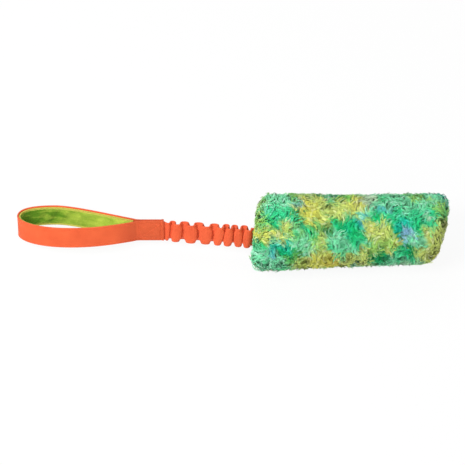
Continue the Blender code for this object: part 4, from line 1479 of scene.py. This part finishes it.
for i in range(strand_segments + 1):
    share = i / strand_segments
    below = nearest(spot, backing_tree)
    outs = backing_outs[below]
    spot -= outs * ((spot - backing_places[below]) * outs).sum(axis=1, keepdims=True)
    spoke = spot - whorls[whorl_of]
    spoke -= outs * (spoke * outs).sum(axis=1, keepdims=True)
    dip = whorl_dip * np.exp(-(np.linalg.norm(spoke, axis=1) / whorl_dip_radius) ** 2)
    upright = ease(share / rising_share)
    risen = upright - lock_droop * ease((share - rising_share) / (1 - rising_share))
    height = lock_rise * (1 - dip) * risen - pile_root_depth * (1 - upright)
    lock_lines.append(spot + outs * height[:, None])
    lock_outs.append(outs)
    away = unit(spoke)
    turn = lock_swirl[0] + (lock_swirl[1] - lock_swirl[0]) * share + lock_wander
    way = away * np.cos(turn)[:, None] + np.cross(outs, away) * (np.sin(turn) * whorl_hand)[:, None]
    spot = spot + unit(way) * lock_steps[:, None]
lock_lines, lock_outs = np.stack(lock_lines, axis=1), np.stack(lock_outs, axis=1)

lock_of = np.repeat(np.arange(locks), strands_per_lock)
strand_count = len(lock_of)
middles, outs = lock_lines[lock_of], lock_outs[lock_of]
ways = unit(np.gradient(middles, axis=1))
side = unit(np.cross(outs, ways))
up = np.cross(ways, side)
spread = np.linspace(*lock_spread, strand_segments + 1)[None, :, None]
middles = middles + side * spread * rng.normal(0, lock_scatter[0], (strand_count, 1, 1))
middles = middles + up * spread * rng.normal(0, lock_scatter[1], (strand_count, 1, 1))

strand = strand_model()
strand_shape = points_of(strand)
row = np.round(strand_shape[:, 2] * strand_segments).astype(int)
slim = np.where(row == strand_segments, 0, 1 - strand_slimming * row / strand_segments)
angle = np.arctan2(strand_shape[:, 1], strand_shape[:, 0])
widths = rng.uniform(*strand_width, strand_count)
places = middles[:, row] + side[:, row] * (np.cos(angle) * slim * widths[:, None] / 2)[..., None]
places += up[:, row] * (np.sin(angle) * slim * widths[:, None] * strand_flatness / 2)[..., None]
lowest = lowest_strand[0] + lowest_strand[1] * rng.random((strand_count, 1))
places[..., 2] = np.maximum(places[..., 2], lowest)
strand_outs = side[:, row] * np.cos(angle)[:, None] + up[:, row] * np.sin(angle)[:, None]
strand_outs = unit(outs[:, row] + strand_roundness * strand_outs)

# Each lock takes up its colour evenly, some locks paler and some deeper, and painted light runs from root
# to tip: the roots are painted paler, as painted fill light in the shadowed depths of the pile, and the
# tips a little more saturated. A lock's place is shifted along it, so that the patches run into each
# other in streaks.
lock_streak = 0.0035
own_dye_share = 0.35
lock_value_spread = 0.12
strand_value_spread = 0.04
pale_share, pale_power = 0.18, 0.6
deep_share, deep_value = 0.08, 0.7
# Painted light from root to tip: the roots painted paler than their colour, as painted fill light in the
# shadowed depths of the pile.
root_painted_level, tip_painted_level = 1.0, 1.04
root_painted_power, tip_painted_power = 0.88, 1.08
streak = unit(lock_lines[:, -1] - lock_lines[:, 0]) * rng.normal(0, lock_streak, (locks, 1))
lock_dye = dye_of((lock_lines + streak[:, None]).reshape(-1, 3)).reshape(locks, -1, 3)
lock_dye = own_dye_share * lock_dye[:, 2:3] + (1 - own_dye_share) * lock_dye
lock_dye *= np.exp(rng.normal(0, lock_value_spread, (locks, 1, 1)))
lock_dye = np.clip(lock_dye, 0, 1) ** np.where(rng.random((locks, 1, 1)) < pale_share, pale_power, 1)
lock_dye = np.where(rng.random((locks, 1, 1)) < deep_share, deep_value * lock_dye, lock_dye)
strand_dye = lock_dye[lock_of][:, row] * rng.normal(1, strand_value_spread, (strand_count, 1, 1))
strand_dye = np.clip(strand_dye, 0, 1)
share = (row / strand_segments)[None, :, None]
# Painted root-to-tip light: paler roots, and tips more saturated and slightly lighter.
point_dye_and_shading = strand_dye ** (root_painted_power + (tip_painted_power - root_painted_power) * share)
point_dye_and_shading = np.clip(point_dye_and_shading * (root_painted_level + (tip_painted_level - root_painted_level) * share), 0, 1)

curly_fur = fur_finish("curly_fur", 0.8)
along_roll, _ = roll_map(middles[:, 0])
for i, chosen in enumerate(np.array_split(np.argsort(along_roll), pile_piece_count)):
    pile = copies_of(strand, f"fur_pile_{i + 1}", places[chosen])
    set_dye_and_shading(pile.data, point_dye_and_shading[chosen].reshape(-1, 3))
    pile.data.normals_split_custom_set_from_vertices(strand_outs[chosen].reshape(-1, 3))
    pile.data.materials.append(curly_fur)
    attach(pile, "tug")
    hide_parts("fur_cover")
bpy.data.objects.remove(strand, do_unlink=True)

# The backing is painted paler by the same power, as painted fill light in the shadowed gaps between the
# locks.
set_dye_and_shading(backing.data, dye_of(backing_places) ** root_painted_power)
backing.data.materials.clear()
backing.data.materials.append(fur_finish("fur_backing", 0.95))
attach(backing, "tug")
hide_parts("fur_cover")

# Mouth stitching: overcast stitches in orange thread that close the fur cover onto the bungee. They
# run round its flat end, just inside the mouth, each slanting a little round it.
mouth_stitch_pitch = 0.0026
mouth_stitch_length = 0.0032
mouth_stitch_slant = (0.8, 0.6)
mouth_thread_radius = 1.2 * thread_radius
seam_gap = sewn_gap + thread_radius
seam_half_width = sleeve_width / 2 + seam_gap
seam_half_thickness = sleeve_half + seam_gap
seam_straight = 2 * (seam_half_width - seam_half_thickness)
seam_bend = math.pi * seam_half_thickness
seam_length = 2 * (seam_straight + seam_bend)
seam_count = round(seam_length / mouth_stitch_pitch)
seam_rows = []
for i in range(seam_count):
    half, reached = divmod((i + 0.5) / seam_count * seam_length, seam_straight + seam_bend)
    sign = 1 if half == 0 else -1
    if reached < seam_straight:
        rise, rear, out = reached - seam_straight / 2, seam_half_thickness, (0, 1)
    else:
        turned = (reached - seam_straight) / seam_half_thickness
        out = (math.sin(turned), math.cos(turned))
        rise = seam_straight / 2 + seam_half_thickness * out[0]
        rear = seam_half_thickness * out[1]
    seam_rows.append([sign * rise, sign * rear, sign * out[0], sign * out[1]])
seam_rise, seam_rear, out_rise, out_rear = np.array(seam_rows).T[:, :, None]
seam_centres = np.array(mouth) + mouth_along * mouth_band + mouth_rear * seam_rear + mouth_up * seam_rise
seam_outs = mouth_rear * out_rear + mouth_up * out_rise
slant_along, slant_round = mouth_stitch_slant
seam_ways = unit(slant_along * mouth_along + slant_round * np.cross(seam_outs, mouth_along))
seam_stitch = stitch_model("seam_stitch", mouth_stitch_length, mouth_thread_radius)
seam = sewn(seam_stitch, "mouth_threads", seam_centres, seam_ways, seam_outs)
bpy.data.objects.remove(seam_stitch, do_unlink=True)
seam.data.materials.append(orange_thread)
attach(seam, "tug")
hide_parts("mouth_stitching")

bpy.context.view_layer.update()
